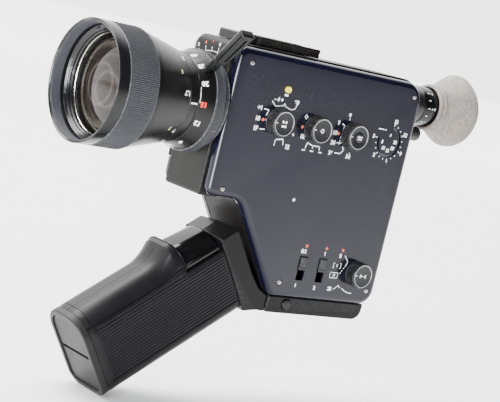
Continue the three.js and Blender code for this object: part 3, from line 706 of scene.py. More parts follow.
def makeCentreFrame():
    front = housingHigh.x + 0.3
    corners = [
        (front, frameHigh.z, 0), (front, noseBottom, 0), (notchX, noseBottom, radii["notch"]),
        (heelX, frameLow.z, radii["heel"]), (frameHigh.x, frameLow.z, radii["bottomRear"]),
        (frameHigh.x, frameHigh.z, radii["topRear"])]
    rim = casing["frameRim"]
    shell = slabMesh("centreFrame", corners, frameLow.y, frameHigh.y, "frameMetal", rim, rim, steps=12,
        rimSteps=4)
    inside = slabMesh("cut", insetCorners(corners, casing["wall"]), -18, 18, "darkInside", steps=12)
    mouth = blockMesh("cut", (front - 1, -14, noseBottom + 4), (front + 4, 14, 140))
    eyeHole = rodMesh("cut", "x", 30, 60, 11.8, (0, centreOf("diopter_ring").z), steps=64)
    knob = centreOf("finder_knob")
    knobHole = rodMesh("cut", "x", 30, 60, 2.4, (knob.y, knob.z))
    carve(shell, [inside, mouth, eyeHole, knobHole])
    web = slabMesh("web", insetCorners(corners, casing["wall"] - 0.2), -8, -5.6, "frameMetal", steps=8)
    drive, spindle = centreOf("capstan"), centreOf("take_up_spindle")
    carve(web, [
        blockMesh("cut", (-100, -10, 121), (60, 0, 160)), blockMesh("cut", (-100, -10, 0), (-80, 0, 160)),
        rodMesh("cut", "y", -10, 0, 2.6, (drive.x, drive.z)),
        rodMesh("cut", "y", -10, 0, 3.4, (spindle.x, spindle.z))])
    settle(joined("centreFrame", [shell, web]), "camera_body", "frame_dark", "centre_frame")


def makeFrontHousing():
    corners = [
        (housingLow.x, housingHigh.z, 5), (housingLow.x, housingLow.z, 2),
        (housingHigh.x, housingLow.z, 0), (housingHigh.x, housingHigh.z, 0)]
    lensZ = centreOf("zoom_ring").z
    shell = slabMesh("frontHousing", corners, housingLow.y, housingHigh.y, "housingPlastic", 1.0, 1.0,
        steps=12)
    carve(shell, [
        blockMesh("cut", (housingLow.x + 2.2, -14.6, 64), (housingHigh.x + 2, 14.6, 145.6)),
        rodMesh("cut", "x", housingLow.x - 1, housingLow.x + 5, 14, (0, lensZ), steps=64),
        rodMesh("cut", "x", housingLow.x - 1, housingLow.x + 5, 1.5, (0, 92))])
    def aroundThroat(turn, reach):
        # turn from straight up towards the control side
        angle = math.radians(90 + turn)
        return -reach * math.cos(angle), lensZ + reach * math.sin(angle)

    marks = [arcShape(0, lensZ, 28.9, 0.3, 60, 128)]
    red = []
    for n, turn in enumerate(range(-36, 31, 11)):
        a, b = aroundThroat(turn, 30.4)
        marks.append(barShape(a, b, 2.8 if n % 2 == 0 else 1.8, 0.35, 90 - turn))
        a, b = aroundThroat(turn, 33.6)
        text = textShape(str(2 * n), a, b, 2.6, -turn * 0.4)
        (red if n in (2, 3) else marks).append(text)
    white = printed("white", marks, "whiteInk", lambda a, b: (housingLow.x - 0.04, -a, b))
    red = printed("red", red, "redInk", lambda a, b: (housingLow.x - 0.04, -a, b))
    settle(joined("frontHousing", [shell, white, red]), "camera_body", "housing_grey", "front_housing")


makeSideCover()
makeFilmDoor()
makeCentreFrame()
makeFrontHousing()
print("casing made")


def makeScrews():
    # slotted heads, each turned by chance
    look = {"head": 1.4, "slot": 0.42, "depth": 0.35}
    for number in range(1, 6):
        node = "cover_screw_%d" % number
        low, high = boxOf(node)
        middle = ((low.x + high.x) / 2, (low.z + high.z) / 2)
        profile = softProfile([
            (low.y, 0, 0), (low.y, look["head"], 0.3), (low.y + 1, look["head"], 0),
            (low.y + 1, 0.9, 0), (high.y, 0.9, 0.1), (high.y, 0, 0)], 3)
        screw = turnedMesh("coverScrew%d" % number, "y", profile, middle, "steel", 40)
        turn = random.uniform(0, 180)
        c, s = math.cos(math.radians(turn)), math.sin(math.radians(turn))
        slot = blockMesh("cut", (-2, -1, -look["slot"] / 2), (2, look["depth"], look["slot"] / 2),
                         place=lambda x, y, z: (middle[0] + x * c - z * s, low.y + y,
                         middle[1] + x * s + z * c))
        carve(screw, [slot])
        settle(screw, "camera_body", "steel", node)


def makeHinge():
    low, high = boxOf("door_hinge")
    axis = (low.x + 1.4, high.y - 1.4)
    knuckles = []
    for n in range(3):
        start = low.z + (high.z - low.z) * n / 3 + 0.1
        end = low.z + (high.z - low.z) * (n + 1) / 3 - 0.1
        profile = softProfile([(start, 0, 0), (start, 1.4, 0.3), (end, 1.4, 0.3), (end, 0, 0)], 3)
        knuckles.append(turnedMesh("knuckle", "x", profile, (0, 0), "frameMetal", 32))
    barrel = joined("doorHinge", knuckles)
    for vertex in barrel.data.vertices:
        x, y, z = vertex.co
        vertex.co = (axis[0] * mm + y, axis[1] * mm + z, x)
    leaf = blockMesh("leaf", (axis[0] - 1.2, low.y, low.z), (axis[0] + 0.4, axis[1] - 0.3, high.z),
        "frameMetal", 0.2)
    settle(joined("doorHinge", [barrel, leaf]), "camera_body", "frame_dark", "door_hinge")


def makeLatch():
    low, high = boxOf("door_latch")
    thumb = blockMesh("doorLatch", tuple(low), tuple(high), "zinc", 0.5)
    carve(thumb, [blockMesh("cut", (low.x - 1, high.y - 0.7, z - 0.45), (high.x + 1, high.y + 1, z + 0.45))
                  for z in (78, 79.7, 81.4, 83.1, 84.8)], edge=0.12)
    settle(thumb, "door_latch", "zinc", "door_latch")


def makeBase():
    look = {"rim": 0.9, "nose": 14.25, "edge": 7.0}
    low, high = boxOf("base_block")
    pin = centreOf("fold_pin")
    outline = []
    for step in range(11):
        z = high.z * (1 - step / 10)
        outline.append((pin.x - math.sqrt(look["nose"] ** 2 - (z - pin.z) ** 2), z, 0))
    outline += [(high.x, low.z, look["edge"]), (high.x, high.z, 0.6)]
    solid = slabMesh("baseBlock", outline, low.y, high.y, "gripPlastic", look["rim"], look["rim"], steps=10)
    bush = centreOf("tripod_bush")
    bushHole = turnedMesh("cut", "x", [(-1, 0), (-1, 5.3), (11, 5.3), (11, 0)], (0, 0), "darkInside", 48)
    for vertex in bushHole.data.vertices:
        x, y, z = vertex.co
        vertex.co = (bush.x * mm + y, z, x)
    tidyNormals(bushHole)
    carve(solid, [
        blockMesh("cut", (-60, -8, -1), (-10.5, 8, 11)), bushHole,
        rodMesh("cut", "y", -30, 30, 3.6, (pin.x, pin.z), steps=64)])
    settle(solid, "camera_body", "grip_plastic", "base_block")

    low, high = boxOf("fold_pin")
    profile = softProfile([
        (low.y, 0, 0), (low.y, 3.2, 0.5), (-14, 3.2, 0), (-14, 1.8, 0), (14, 1.8, 0), (14, 3.2, 0),
        (high.y, 3.2, 0.4), (high.y, 0, 0)], 4)
    settle(turnedMesh("foldPin", "y", profile, (pin.x, pin.z), "glossBlack", 64), "camera_body",
        "dial_black", "fold_pin")

    low, high = boxOf("tripod_bush")
    profile = [(low.z, 5.0), (high.z, 5.0), (high.z, 0), (7.0, 0), (7.0, 3.1)]
    for turn in range(5):
        profile += [(6.4 - turn * 1.27, 3.1), (5.9 - turn * 1.27, 3.35)]
    profile += [(0.4, 3.1), (low.z, 3.5)]
    bushing = turnedMesh("tripodBush", "x", profile, (0, 0), "steel", 48)
    for vertex in bushing.data.vertices:
        x, y, z = vertex.co
        vertex.co = (bush.x * mm + y, z, x)
    tidyNormals(bushing)
    settle(bushing, "camera_body", "steel", "tripod_bush")


makeScrews()
makeHinge()
makeLatch()
makeBase()
print("screws, hinge, latch and base made")


def makeTop():
    low, high = boxOf("accessory_rail")
    rail = blockMesh("accessoryRail", tuple(low), tuple(high), "frameMetal", 0.35)
    carve(rail, [blockMesh("cut", (low.x + 1.5, -9.3, low.z + 1.5), (high.x + 5, 9.3, low.z + 3.4)),
        blockMesh("cut", (low.x + 1.5, -6.6, low.z + 2.0), (high.x + 5, 6.6, low.z + 9)),
        blockMesh("cut", (low.x - 1, high.y - 0.35, low.z + 2.1), (high.x + 1, high.y + 1, low.z + 2.9)),
        blockMesh("cut", (low.x - 1, low.y - 1, low.z + 1.7), (high.x + 1, low.y + 0.6, low.z + 2.7))],
        edge=0.15)
    settle(rail, "camera_body", "frame_dark", "accessory_rail")

    low, high = boxOf("lamp_housing")
    lampLow, lampHigh = boxOf("signal_lamp")
    lamp = centreOf("signal_lamp")
    corners = [(low.x, high.z, 1.4), (low.x, low.z, 0.2), (high.x, low.z, 0.2), (high.x, high.z, 0.8)]
    block = slabMesh("lampHousing", corners, low.y, high.y, "glossBlack", 0.7, 0.7, steps=6)
    carve(block, [rodMesh("cut", "y", low.y - 1, low.y + 4.5, 1.9, (lamp.x, lamp.z), steps=48)])
    settle(block, "camera_body", "frame_dark", "lamp_housing")
    dome = [(lampLow.y + 0.9 - 0.9 * math.cos(a),
        1.6 * math.sin(a)) for a in [math.pi / 2 * n / 8 for n in range(9)]]
    dome += [(lampHigh.y, 1.6), (lampHigh.y, 0)]
    settle(turnedMesh("signalLamp", "y", dome, (lamp.x, lamp.z), "lampRed", 48), "camera_body",
        "lamp_red", "signal_lamp")


makeTop()
print("top made")


lensZ = centreOf("zoom_ring").z
lensCentre = (0, lensZ)


def makeLensFront():
    look = {"radius": 33.3, "bandEnd": -174.9, "turns": 9, "pitch": 0.75}
    front = boxOf("front_rim")[0].x
    inside = softProfile([
        (-166.2, 27.6, 0), (-170.0, 27.6, 0.1), (-170.6, 28.4, 0.1), (-171.4, 28.4, 0.1),
        (-172.2, 29.4, 0.1),
        (front + 8.4, 30.2, 0.1), (front + 8.2, 31.2, 0)], 3)
    thread = []
    for turn in range(look["turns"]):
        thread += [(front + 8.0 - turn * look["pitch"], 31.35), (front + 7.62 - turn * look["pitch"], 31.2)]
    rest = softProfile([
        (front + 0.9, 31.5, 0.1), (front + 0.7, 32.1, 0.1), (front, 32.6, 0.15),
        (front, look["radius"], 0.35),
        (look["bandEnd"], look["radius"], 0.15), (look["bandEnd"], 30.4, 0), (-166.2, 30.4, 0)], 5)
    rim = turnedMesh("rim", "x", (inside + thread + rest)[::-1], lensCentre, "rimBlack", 160, sharp=24)
    # the filter thread is matt blue-grey
    rim.data.materials.append(finishes["threadGrey"])
    for face in rim.data.polygons:
        spot = face.center / mm
        reach = math.hypot(spot.y - lensCentre[0], spot.z - lensCentre[1])
        if front + 0.8 < spot.x < front + 8.3 and reach < 31.6:
            face.material_index = 1
    bright = turnedMesh("bright", "x", [
        (-167.2, 27.7), (-168.2, 27.65), (-168.4, 27.4), (-168.2, 27.2), (-167.6, 27.2)], lensCentre,
        "brightRing", 160)
    settle(rim, "focus_group", "gloss_black", "front_rim")
    settle(bright, "focus_group", "gloss_black")

    sag, reach = 6.0, 26.8
    bulge = (reach * reach + sag * sag) / (2 * sag)
    profile = [(-171.5 + bulge - math.sqrt(bulge ** 2 - (reach * n / 24) ** 2),
        reach * n / 24) for n in range(25)]
    profile += [(-165.0, 27.2), (-160.5, 27.2), (-159.5, 20), (-158.8, 0)]
    settle(turnedMesh("frontLens", "x", profile, lensCentre, "glass", 128, sharp=50), "focus_group",
        "optical_glass", "front_lens")


def makeFocusBarrel():
    look = {"grooves": 190, "depth": 0.3}
    knurlFront, knurlRear, radius = -174.6, -156.0, 33.3

    def groove(station, reach, angle):
        if not knurlFront + 0.7 < station < knurlRear - 0.5 or reach < 32:
            return 0.0
        wave = math.cos(angle * look["grooves"])
        return -look["depth"] * (0.5 - 0.5 * max(-1.0, min(1.0, wave * 1.3)))

    rows = [(knurlFront, 30.8), (knurlFront, radius - 0.5), (knurlFront + 0.35, radius - 0.1),
            (knurlFront + 0.69, radius - 0.02), (knurlFront + 0.95, radius)]
    rows += [(knurlFront + 1.2 + 16.6 * n / 6, radius) for n in range(7)]
    rows += [(knurlRear - 0.45, radius), (knurlRear - 0.1, radius - 0.05), (knurlRear, radius - 0.5),
        (knurlRear, 30.8)]
    knurl = turnedMesh("knurl", "x", rows, lensCentre, "gripRing", look["grooves"] * 6, groove, sharp=42)
    rear = boxOf("focus_barrel")[1].x
    profile = softProfile([
        (-167.2, 28.5, 0), (-167.2, 30.7, 0), (knurlRear - 0.2, 30.7, 0), (knurlRear - 0.2, 32.6, 0.1),
        (-154.8, 32.4, 0.3), (-152.6, 32.0, 1.2), (-130.5, 26.5, 0.2), (-130.3, 26.0, 0.1),
        (-129.9, 26.0, 0.1), (-129.7, 26.2, 0.2), (rear - 0.35, 25.0, 0.2), (rear, 24.7, 0.1),
        (rear, 20.4, 0), (-149, 20.4, 0), (-154, 28.5, 0)], 4)
    barrel = turnedMesh("barrel", "x", profile[::-1], lensCentre, "barrelBlack", 160, sharp=24)

    def onTaper(a, b):
        station = -b
        reach = 26.2 - (station + 129.7) * (26.2 - 25.0) / (rear - 0.35 + 129.7) + 0.05
        turn = a / 25.8
        return (station, -reach * math.cos(turn), lensZ + reach * math.sin(turn))

    white = [barShape(0.6, 126.4, 0.9, 5.2)]
    distances = [textShape(text, a, 132.8, 3.6, 90, 0.05) for text,
        a in (("1.7", 5.5), ("3", -16.5), ("5", -27), ("2", 26))]
    green = [textShape(text, a, 137.2, 3.0, 90) for text,
        a in (("8", 16), ("7", -14.5), ("13", -27), ("6", 36))]

    def onCone(a, b):
        reach = 26.5 + max(0.0, b - 130.5) * (32.0 - 26.5) / (152.6 - 130.5) + 0.07
        turn = a / 26.5
        return (-b, -reach * math.cos(turn), lensZ + reach * math.sin(turn))

    settle(joined("focusBarrel", [
        knurl, barrel, printed("white", white, "whiteInk", onTaper),
        printed("distances", distances, "whiteInk", onCone), printed("green", green, "greenInk", onCone)]),
        "focus_group", "ring_grey", "focus_barrel")


def makeZoom():
    low, high = boxOf("zoom_ring")
    slim, wide = 24.9, high.y - 0.1
    slope = (wide - slim) / (high.x - low.x)
    profile = softProfile([
        (low.x, 20.4, 0), (high.x, 20.4, 0), (high.x, wide, 0.15), (low.x + 1.0, slim + slope, 1.0),
        (low.x, slim, 0.25)], 3)
    ring = turnedMesh("ring", "x", profile, lensCentre, "barrelBlack", 128, sharp=24)

    def surface(a, b):
        reach = slim + slope * (-b - low.x) + 0.07
        turn = a / 25.0
        return (-b, -reach * math.cos(turn), lensZ + reach * math.sin(turn))

    # the short white bar along the front edge, between the 15 and the 20, is a painted highlight in white
    # ink
    paintedHighlightBar = [barShape(5.8, -low.x - 0.7, 8.4, 0.3)]
    numbers = [("8", -35), ("9", -25.5), ("12", -9.5), ("20", 12), ("28", 22.5), ("40", 32), ("60", 42)]
    white = paintedHighlightBar + [textShape(text, a, 120.3, 3.7, 90, 0.04) for text, a in numbers]
    red = [textShape("15", 0.9, 120.3, 3.7, 90, 0.05)]
    settle(joined("zoomRing", [
        ring, printed("white", white, "whiteInk", surface), printed("red", red, "redInk", surface)]),
        "zoom_group", "lens_black", "zoom_ring")

    look = {"station": -117.0, "lean": 45.0, "half": 2.7, "tip": 61.5}
    c, s = math.cos(math.radians(look["lean"])), math.sin(math.radians(look["lean"]))

    def place(x, y, z):
        # z runs outwards along the lever, y across it
        return (look["station"] + x, y * c - z * s, lensZ + y * s + z * c)

    root = blockMesh("root", (-3.0, -1.9, slim + 0.4), (2.4, 1.9, slim + 12), "glossBlack", 0.7, place)
    corners = [(-3.2, look["tip"], 1.2), (-2.6, slim + 10, 2.0), (4.2, slim + 10, 2.0),
        (5.4, look["tip"], 1.2)]
    handle = slabMesh("handle", corners, -look["half"], look["half"], "glossBlack", 1.5, 1.5, steps=6,
        place=place)
    groove = slabMesh("cut", [(0.2, look["tip"] - 3, 0.6), (0.2, slim + 14, 0.6), (2.0, slim + 14, 0.6),
                              (2.0, look["tip"] - 3, 0.6)], -look["half"] - 1, -look["half"] + 0.7,
                              "darkInside", place=place)
    carve(handle, [groove])
    settle(joined("zoomLever", [root, handle]), "zoom_group", "gloss_black", "zoom_lever")


def makeFlange():
    look = {"knurlEnd": -108.0, "neck": 25.5, "bore": 23.0, "grooves": 200, "depth": 0.2}
    low, high = boxOf("lens_flange")
    radius, rear = high.y, look["knurlEnd"]

    def ridge(station, reach, angle):
        if low.x + 0.7 < station < rear - 0.5 and reach > radius - 0.1:
            return -look["depth"] * (0.5 - 0.5 * math.cos(angle * look["grooves"]))
        return 0.0

    profile = [(low.x, look["bore"]), (high.x, look["bore"]), (high.x, look["neck"]), (rear, look["neck"])]
    profile += [(rear, radius - 0.4), (rear - 0.15, radius - 0.1), (rear - 0.4, radius),
        (rear - 0.6, radius)]
    profile += [(low.x + 0.9, radius), (low.x + 0.6, radius), (low.x + 0.2, radius - 0.1),
        (low.x, radius - 0.4)]
    flange = turnedMesh("lensFlange", "x", profile, lensCentre, "gripRing", look["grooves"] * 6, ridge,
        sharp=42)
    settle(flange, "camera_body", "ring_grey", "lens_flange")


makeLensFront()
makeFocusBarrel()
makeZoom()
makeFlange()
print("lens made")


# the controls on the side cover
faceY = -22.5 - 0.04


def onFace(y):
    return lambda a, b: (a, y, b)


def makeDial(node, slotBody, marks, hole=0.0):
    look = {"radius": 7.65, "ridges": 60, "depth": 0.28, "edge": 0.7}
    low, high = boxOf(node)
    top = low.y
    middle = ((low.x + high.x) / 2, (low.z + high.z) / 2)
    radius = look["radius"]
    rimTop = [(top, 0, 0), (top, hole, 0)] if not hole else [(top + 3, 0, 0), (top + 3, hole, 0),
        (top + 0.35, hole, 0.1)]
    if not hole:
        rimTop = [(top + 0.35, 0, 0)]
    profile = softProfile(rimTop + [
        (top + 0.35, radius - 1.5, 0.1), (top, radius - 1.25, 0.15), (top, radius - 0.75, 0.2),
        (top + 0.75, radius, 0.25)], 3)
    profile += [(top + 1.1, radius), (top + 1.3, radius), (top + 4, radius), (-23.4, radius),
        (-23.2, radius), (-22.8, radius),
                (-22.8, 3.0), (high.y, 3.0), (high.y, 0)]

    def ridge(station, reach, angle):
        if top + 1.2 < station < -23.3 and reach > radius - 0.1:
            return -look["depth"] * (0.5 - 0.5 * math.cos(angle * look["ridges"]))
        return 0.0

    cap = turnedMesh(node, "y", profile, middle, "dialPlastic", look["ridges"] * 6, ridge, sharp=30)
    # a light grey metal ring on the crest of the rim: its light colour is a painted highlight along the rim
    # edge
    bright = turnedMesh("edge", "y", [(top + 0.05, radius - 1.3), (top - 0.03, radius - 1.15),
        (top - 0.03, radius - 0.85),
                                      (top + 0.2, radius - 0.6), (top + 0.3, radius - 0.9)], middle,
                                      "flangeMetal", 96)
    face = printed("face", marks(*middle), "whiteInk", onFace(top + 0.31))
    index = printed("index", [barShape(middle[0] - radius + 2.3, middle[1], 1.5, 0.35)], "whiteInk",
        onFace(top + 0.31))
    settle(joined(node, [cap, bright, face, index]), slotBody, "dial_black", node)


def makeControls():
    makeDial("mode_dial", "mode_dial", lambda x, z: [
        barShape(x, z - 1.4, 3.4, 1.3), barShape(x - 1.1, z + 1.0, 1.2, 1.5, 25),
        barShape(x + 1.1, z + 1.0, 1.2, 1.5, -25),
        barShape(x, z + 1.0, 1.6, 0.5)])
    makeDial("frame_rate_dial", "frame_rate_dial", lambda x, z: [dotShape(x, z, 1.25, 0.75)])
    makeDial("exposure_dial", "exposure_dial", lambda x, z: [], hole=3.4)
    makeDial("sound_dial", "sound_dial", lambda x, z: [
        ([(x - 2.4, z + 1.2), (x - 2.4, z - 1.2), (x - 0.5, z)], [(0, 1, 2)]),
        ([(x + 2.4, z + 1.2), (x + 0.5, z), (x + 2.4, z - 1.2)], [(0, 1, 2)]),
        barShape(x, z, 3.0, 0.3)])

    low, high = boxOf("battery_test_button")
    middle = (centreOf("battery_test_button").x, centreOf("battery_test_button").z)
    profile = softProfile([(low.y, 0, 0), (low.y, 3.0, 0.35), (high.y, 3.0, 0), (high.y, 0, 0)], 4)
    push = turnedMesh("batteryTestButton", "y", profile, middle, "dialPlastic", 64)
    face = printed("face", [barShape(middle[0], middle[1] + 0.5, 3.6, 0.8),
        barShape(middle[0], middle[1] - 0.8, 3.0, 0.7)],
                   "whiteInk", onFace(low.y - 0.03))
    settle(joined("batteryTestButton", [push, face]), "battery_test_button", "dial_black",
        "battery_test_button")

    low, high = boxOf("timer_button")
    profile = softProfile([
        (low.y + 0.35, 0, 0), (low.y + 0.25, 0.6, 0.1), (low.y, 1.2, 0.2), (low.y, 1.75, 0.3),
        (high.y, 1.75, 0), (high.y, 0, 0)], 4)
    settle(turnedMesh("timerButton", "y", profile, (timerPlace.x, timerPlace.z), "yellowCap", 48),
        "timer_button", "button_yellow", "timer_button")

    for name, x in zip(("time_slider", "sound_slider"), sliderX):
        low, high = boxOf(name)
        thumb = blockMesh(name, (low.x, low.y, low.z), (high.x, low.y + 1.8, high.z), "dialPlastic", 0.45)
        carve(thumb, [blockMesh("cut", (low.x - 1, low.y - 1, low.z + 1.4),
            (high.x + 1, low.y + 0.35, low.z + 2.0))], edge=0.1)
        foot = blockMesh("foot", (x - 2.2, low.y + 1.6, high.z - 6.7), (x + 2.2, high.y, high.z - 1.2),
            "darkInside", 0.2)
        settle(joined(name, [thumb, foot]), name, "dial_black", name)


def makePanelPrint():
    large = (("60", -54.3, 122.0), ("+1", -79.2, 115.6), ("18", -79.2, 109.5), ("1F", -79.2, 104.0),
        ("12", -53.6, 96.6), ("9", -19.6, 115.5), ("18", -20.9, 109.4), ("24", -20.6, 103.7),
        ("36", -20.5, 97.5), ("54", -6.6, 97.1))
    medium = (("- 4 +", -67.3, 121.9), ("1k", -44.4, 103.9), ("0.2", -22.2, 38.6), ("1", -22.6, 18.2),
        ("1", -5.6, 38.6), ("2", -7.6, 17.8), ("0", 6.9, 38.4), ("20", 4.4, 18.2))
    thin = (("1", -63.2, 96.9, 2.4), ("+", -51.3, 103.9, 3.2), ("5", 6.1, 32.5, 2.2),
        ("10", 5.2, 26.6, 2.0))
    white = [textShape(text, x, z, 3.4, bold=0.06) for text, x, z in large]
    white += [textShape(text, x, z, 3.2, bold=0.06) for text, x, z in medium]
    white += [textShape(*figure) for figure in thin]

    # lines that lead from the figures to the dials, by their width
    leaders = {
        0.62: ([(-71.7, 120.4), (-68.6, 117.9), (-65.4, 118.6)],
            [(-64.6, 118.9), (-62.2, 119.2), (-60.0, 118.3), (-57.2, 117.6), (-54.4, 118.4),
                (-53.7, 120.4)],
            [(-76.0, 115.4), (-72.6, 115.2), (-73.6, 112.4)],
            [(-75.8, 104.0), (-72.6, 104.2)],
            [(-63.2, 98.0), (-62.9, 99.7), (-57.6, 100.6), (-57.0, 97.6)],
            [(-45.8, 115.4), (-44.7, 116.6), (-43.6, 115.4), (-44.7, 114.2), (-45.8, 115.4)],
            [(-40.2, 98.0), (-39.4, 101.1), (-35.4, 99.9), (-29.9, 100.0), (-29.5, 98.2)],
            [(-16.6, 115.3), (-14.6, 114.4), (-15.2, 112.6)],
            [(-17.6, 104.1), (-14.6, 104.3)],
            [(-17.4, 98.0), (-13.0, 98.2), (-11.2, 100.4), (-12.6, 102.2)]),
        0.5: ([(10.6, 38.9), (13.8, 35.4), (12.4, 32.6)],
            [(7.6, 18.2), (10.8, 20.9), (12.0, 19.6)]),
        0.4: ([(4.0, 34.0), (3.2, 34.0), (3.2, 31.0), (4.0, 31.0)],
            [(8.2, 34.0), (9.0, 34.0), (9.0, 31.0), (8.2, 31.0)],
            [(2.2, 28.2), (8.2, 28.2), (8.2, 25.0), (2.2, 25.0), (2.2, 28.2)])}
    for width, paths in leaders.items():
        for points in paths:
            white += lineShapes(points, width)

    # small bars and dots: mode dial, frame-rate dial, exposure dial
    white += [barShape(-62.8, 125.1, 2.6, 1.3), dotShape(-62.5, 119.7, 0.75),
        barShape(-73.1, 109.6, 0.9, 1.1)]
    white += [barShape(-34.9, 98.8, 0.45, 1.4)]
    white += [barShape(x, 96.7, 2.6, 0.7) for x in (-41.2, -34.9, -28.5)]
    white += [barShape(-15.7, 107.4 - 1.9 * n, 0.45, 0.9) for n in range(3)]
    white += [dotShape(-12.5, 121.2, 1.0), barShape(-12.2, 119.2, 0.45, 2.2, 10),
        barShape(-6.2, 99.2, 0.45, 1.0)]

    # film counter
    cx, cz = counterPlace.x, counterPlace.z
    for n in range(16):
        angle = math.radians(171 + 18 * n)
        long = 1.7 if n % 3 == 0 else 1.0
        reach = 9.9 + long / 2
        white.append(barShape(cx + reach * math.cos(angle), cz + reach * math.sin(angle), long, 0.55,
            math.degrees(angle)))
    for n, text in enumerate(("0", "3", "6", "9", "12", "15")):
        angle = math.radians(171 + 54 * n)
        white.append(textShape(text, cx + 13.1 * math.cos(angle), cz + 12.6 * math.sin(angle), 3.2,
            bold=0.06))
    for n in range(5):
        angle = math.radians(185 + 45 * n)
        white.append(textShape(str(10 * (n + 1) // 2), cx + 5.2 * math.cos(angle),
            cz + 5.2 * math.sin(angle), 2.6, bold=0.08))
    white.append(textShape("8", cx + 0.2, cz + 4.0, 2.3))
    white += [barShape(cx - 8.2, cz + 6.9, 4.6, 0.7), ([(cx - 5.0, cz + 7.6), (cx - 5.0, cz + 6.2),
        (cx - 3.9, cz + 6.9)], [(0, 1, 2)])]
    # sound dial, and the dot in the middle of the panel
    white += [barShape(11.6 - 0.9 * n, 31.4 - 1.6 * n, 1.0, 0.45, 60) for n in range(3)]
    white += [arcShape(soundX, soundZ, 12.4, 0.5, 232, 275), arcShape(soundX, soundZ, 9.6, 0.5, 12, 24),
        dotShape(-39.2, 67.5, 0.95)]
    dots = [(x - 9.6, dialZ - 0.3) for x in (dialX[0], dialX[2])] + [(dialX[1] - 8.9, dialZ - 0.3)]
    dots += [(x, 42.0) for x in (-20.9, -5.2, 7.8)]
    orange = [dotShape(x, z, 0.95) for x, z in dots]
    marks = joined("panelPrint", [printed("white", white, "whiteInk", onFace(faceY)),
                                  printed("orange", orange, "orangeInk", onFace(faceY))])
    settle(marks, "camera_body", "print_white")


makeControls()
makePanelPrint()
print("controls made")


def makeEyepiece():
    centre = (0, centreOf("diopter_ring").z)
    profile = softProfile([
        (32, 8.4, 0), (66, 8.4, 0), (66, 9.8, 0), (55.5, 9.8, 0), (55.5, 11.6, 0.2), (48.5, 11.6, 0.2),
        (47, 12.4, 0.3),
        (44.6, 12.4, 0.1), (44.4, 12.0, 0.1), (43.9, 12.0, 0.1), (43.7, 12.4, 0.1), (42.4, 12.4, 0.2),
        (42.4, 11.4, 0), (32, 11.4, 0)], 4)
    settle(turnedMesh("eyepieceTube", "x", profile, centre, "dialPlastic", 96), "camera_body",
        "dial_black", "eyepiece_tube")

    low, high = boxOf("diopter_ring")
    radius = high.y

    def ridge(station, reach, angle):
        if low.x + 8.4 < station < high.x - 3.0 and reach > radius - 0.2:
            return -0.22 * (0.5 - 0.5 * math.cos(angle * 48))
        return 0.0

    rows = softProfile([(low.x, 10.1, 0), (high.x, 10.1, 0), (high.x, radius, 0.3)], 3)
    rows += [(high.x - 2.8, radius), (high.x - 3.1, radius), (high.x - 5, radius), (low.x + 8.5, radius),
        (low.x + 8.3, radius)]
    rows += [(low.x + 1.0, radius), (low.x + 0.3, radius - 0.1), (low.x, radius - 0.4)]
    ring = turnedMesh("ring", "x", rows, centre, "glossBlack", 288, ridge, sharp=30)

    def around(a, b):
        reach = radius + 0.04
        return (b, -reach * math.cos(a / reach), centre[1] + reach * math.sin(a / reach))

    white = [barShape(-10 + 5.0 * n, low.x + 3.4, 0.55, 1.9) for n in range(5)]
    white += [dotShape(0, low.x + 6.2, 0.5), textShape("0", 0.2, low.x + 8.2, 2.2, 90),
        textShape("-", -10, low.x + 6.4, 2.4, 90),
              textShape("+", 10, low.x + 6.4, 2.4, 90)]
    settle(joined("diopterRing", [ring, printed("white", white, "whiteInk", around)]), "diopter_ring",
        "gloss_black", "diopter_ring")

    dome = [(66.0 - 0.32 * (n / 10) ** 2 * 2.6, 8.1 * n / 10) for n in range(11)]
    settle(turnedMesh("eyepieceLens", "x", (dome + [(60, 8.1), (58, 0)]), centre, "innerGlass", 64,
        sharp=50), "camera_body", "optical_glass", "eyepiece_lens")

    knob = centreOf("finder_knob")
    low, high = boxOf("finder_knob")
    rows = [(low.x, 0), (low.x, 2), (41.8, 2), (41.8, 3.6), (46.6, 3.6), (46.8, 4.3), (47.0, 4.4),
        (48, 4.4), (54, 4.4), (55.2, 4.4), (55.9, 4.1), (56.5, 3.5), (56.5, 0)]

    def knobRidge(station, reach, angle):
        return -0.2 * (0.5 - 0.5 * math.cos(angle * 26)) if 47.5 < station < 55 else 0.0

    settle(turnedMesh("finderKnob", "x", rows, (knob.y, knob.z), "dialPlastic", 156, knobRidge),
        "finder_knob", "dial_black", "finder_knob")


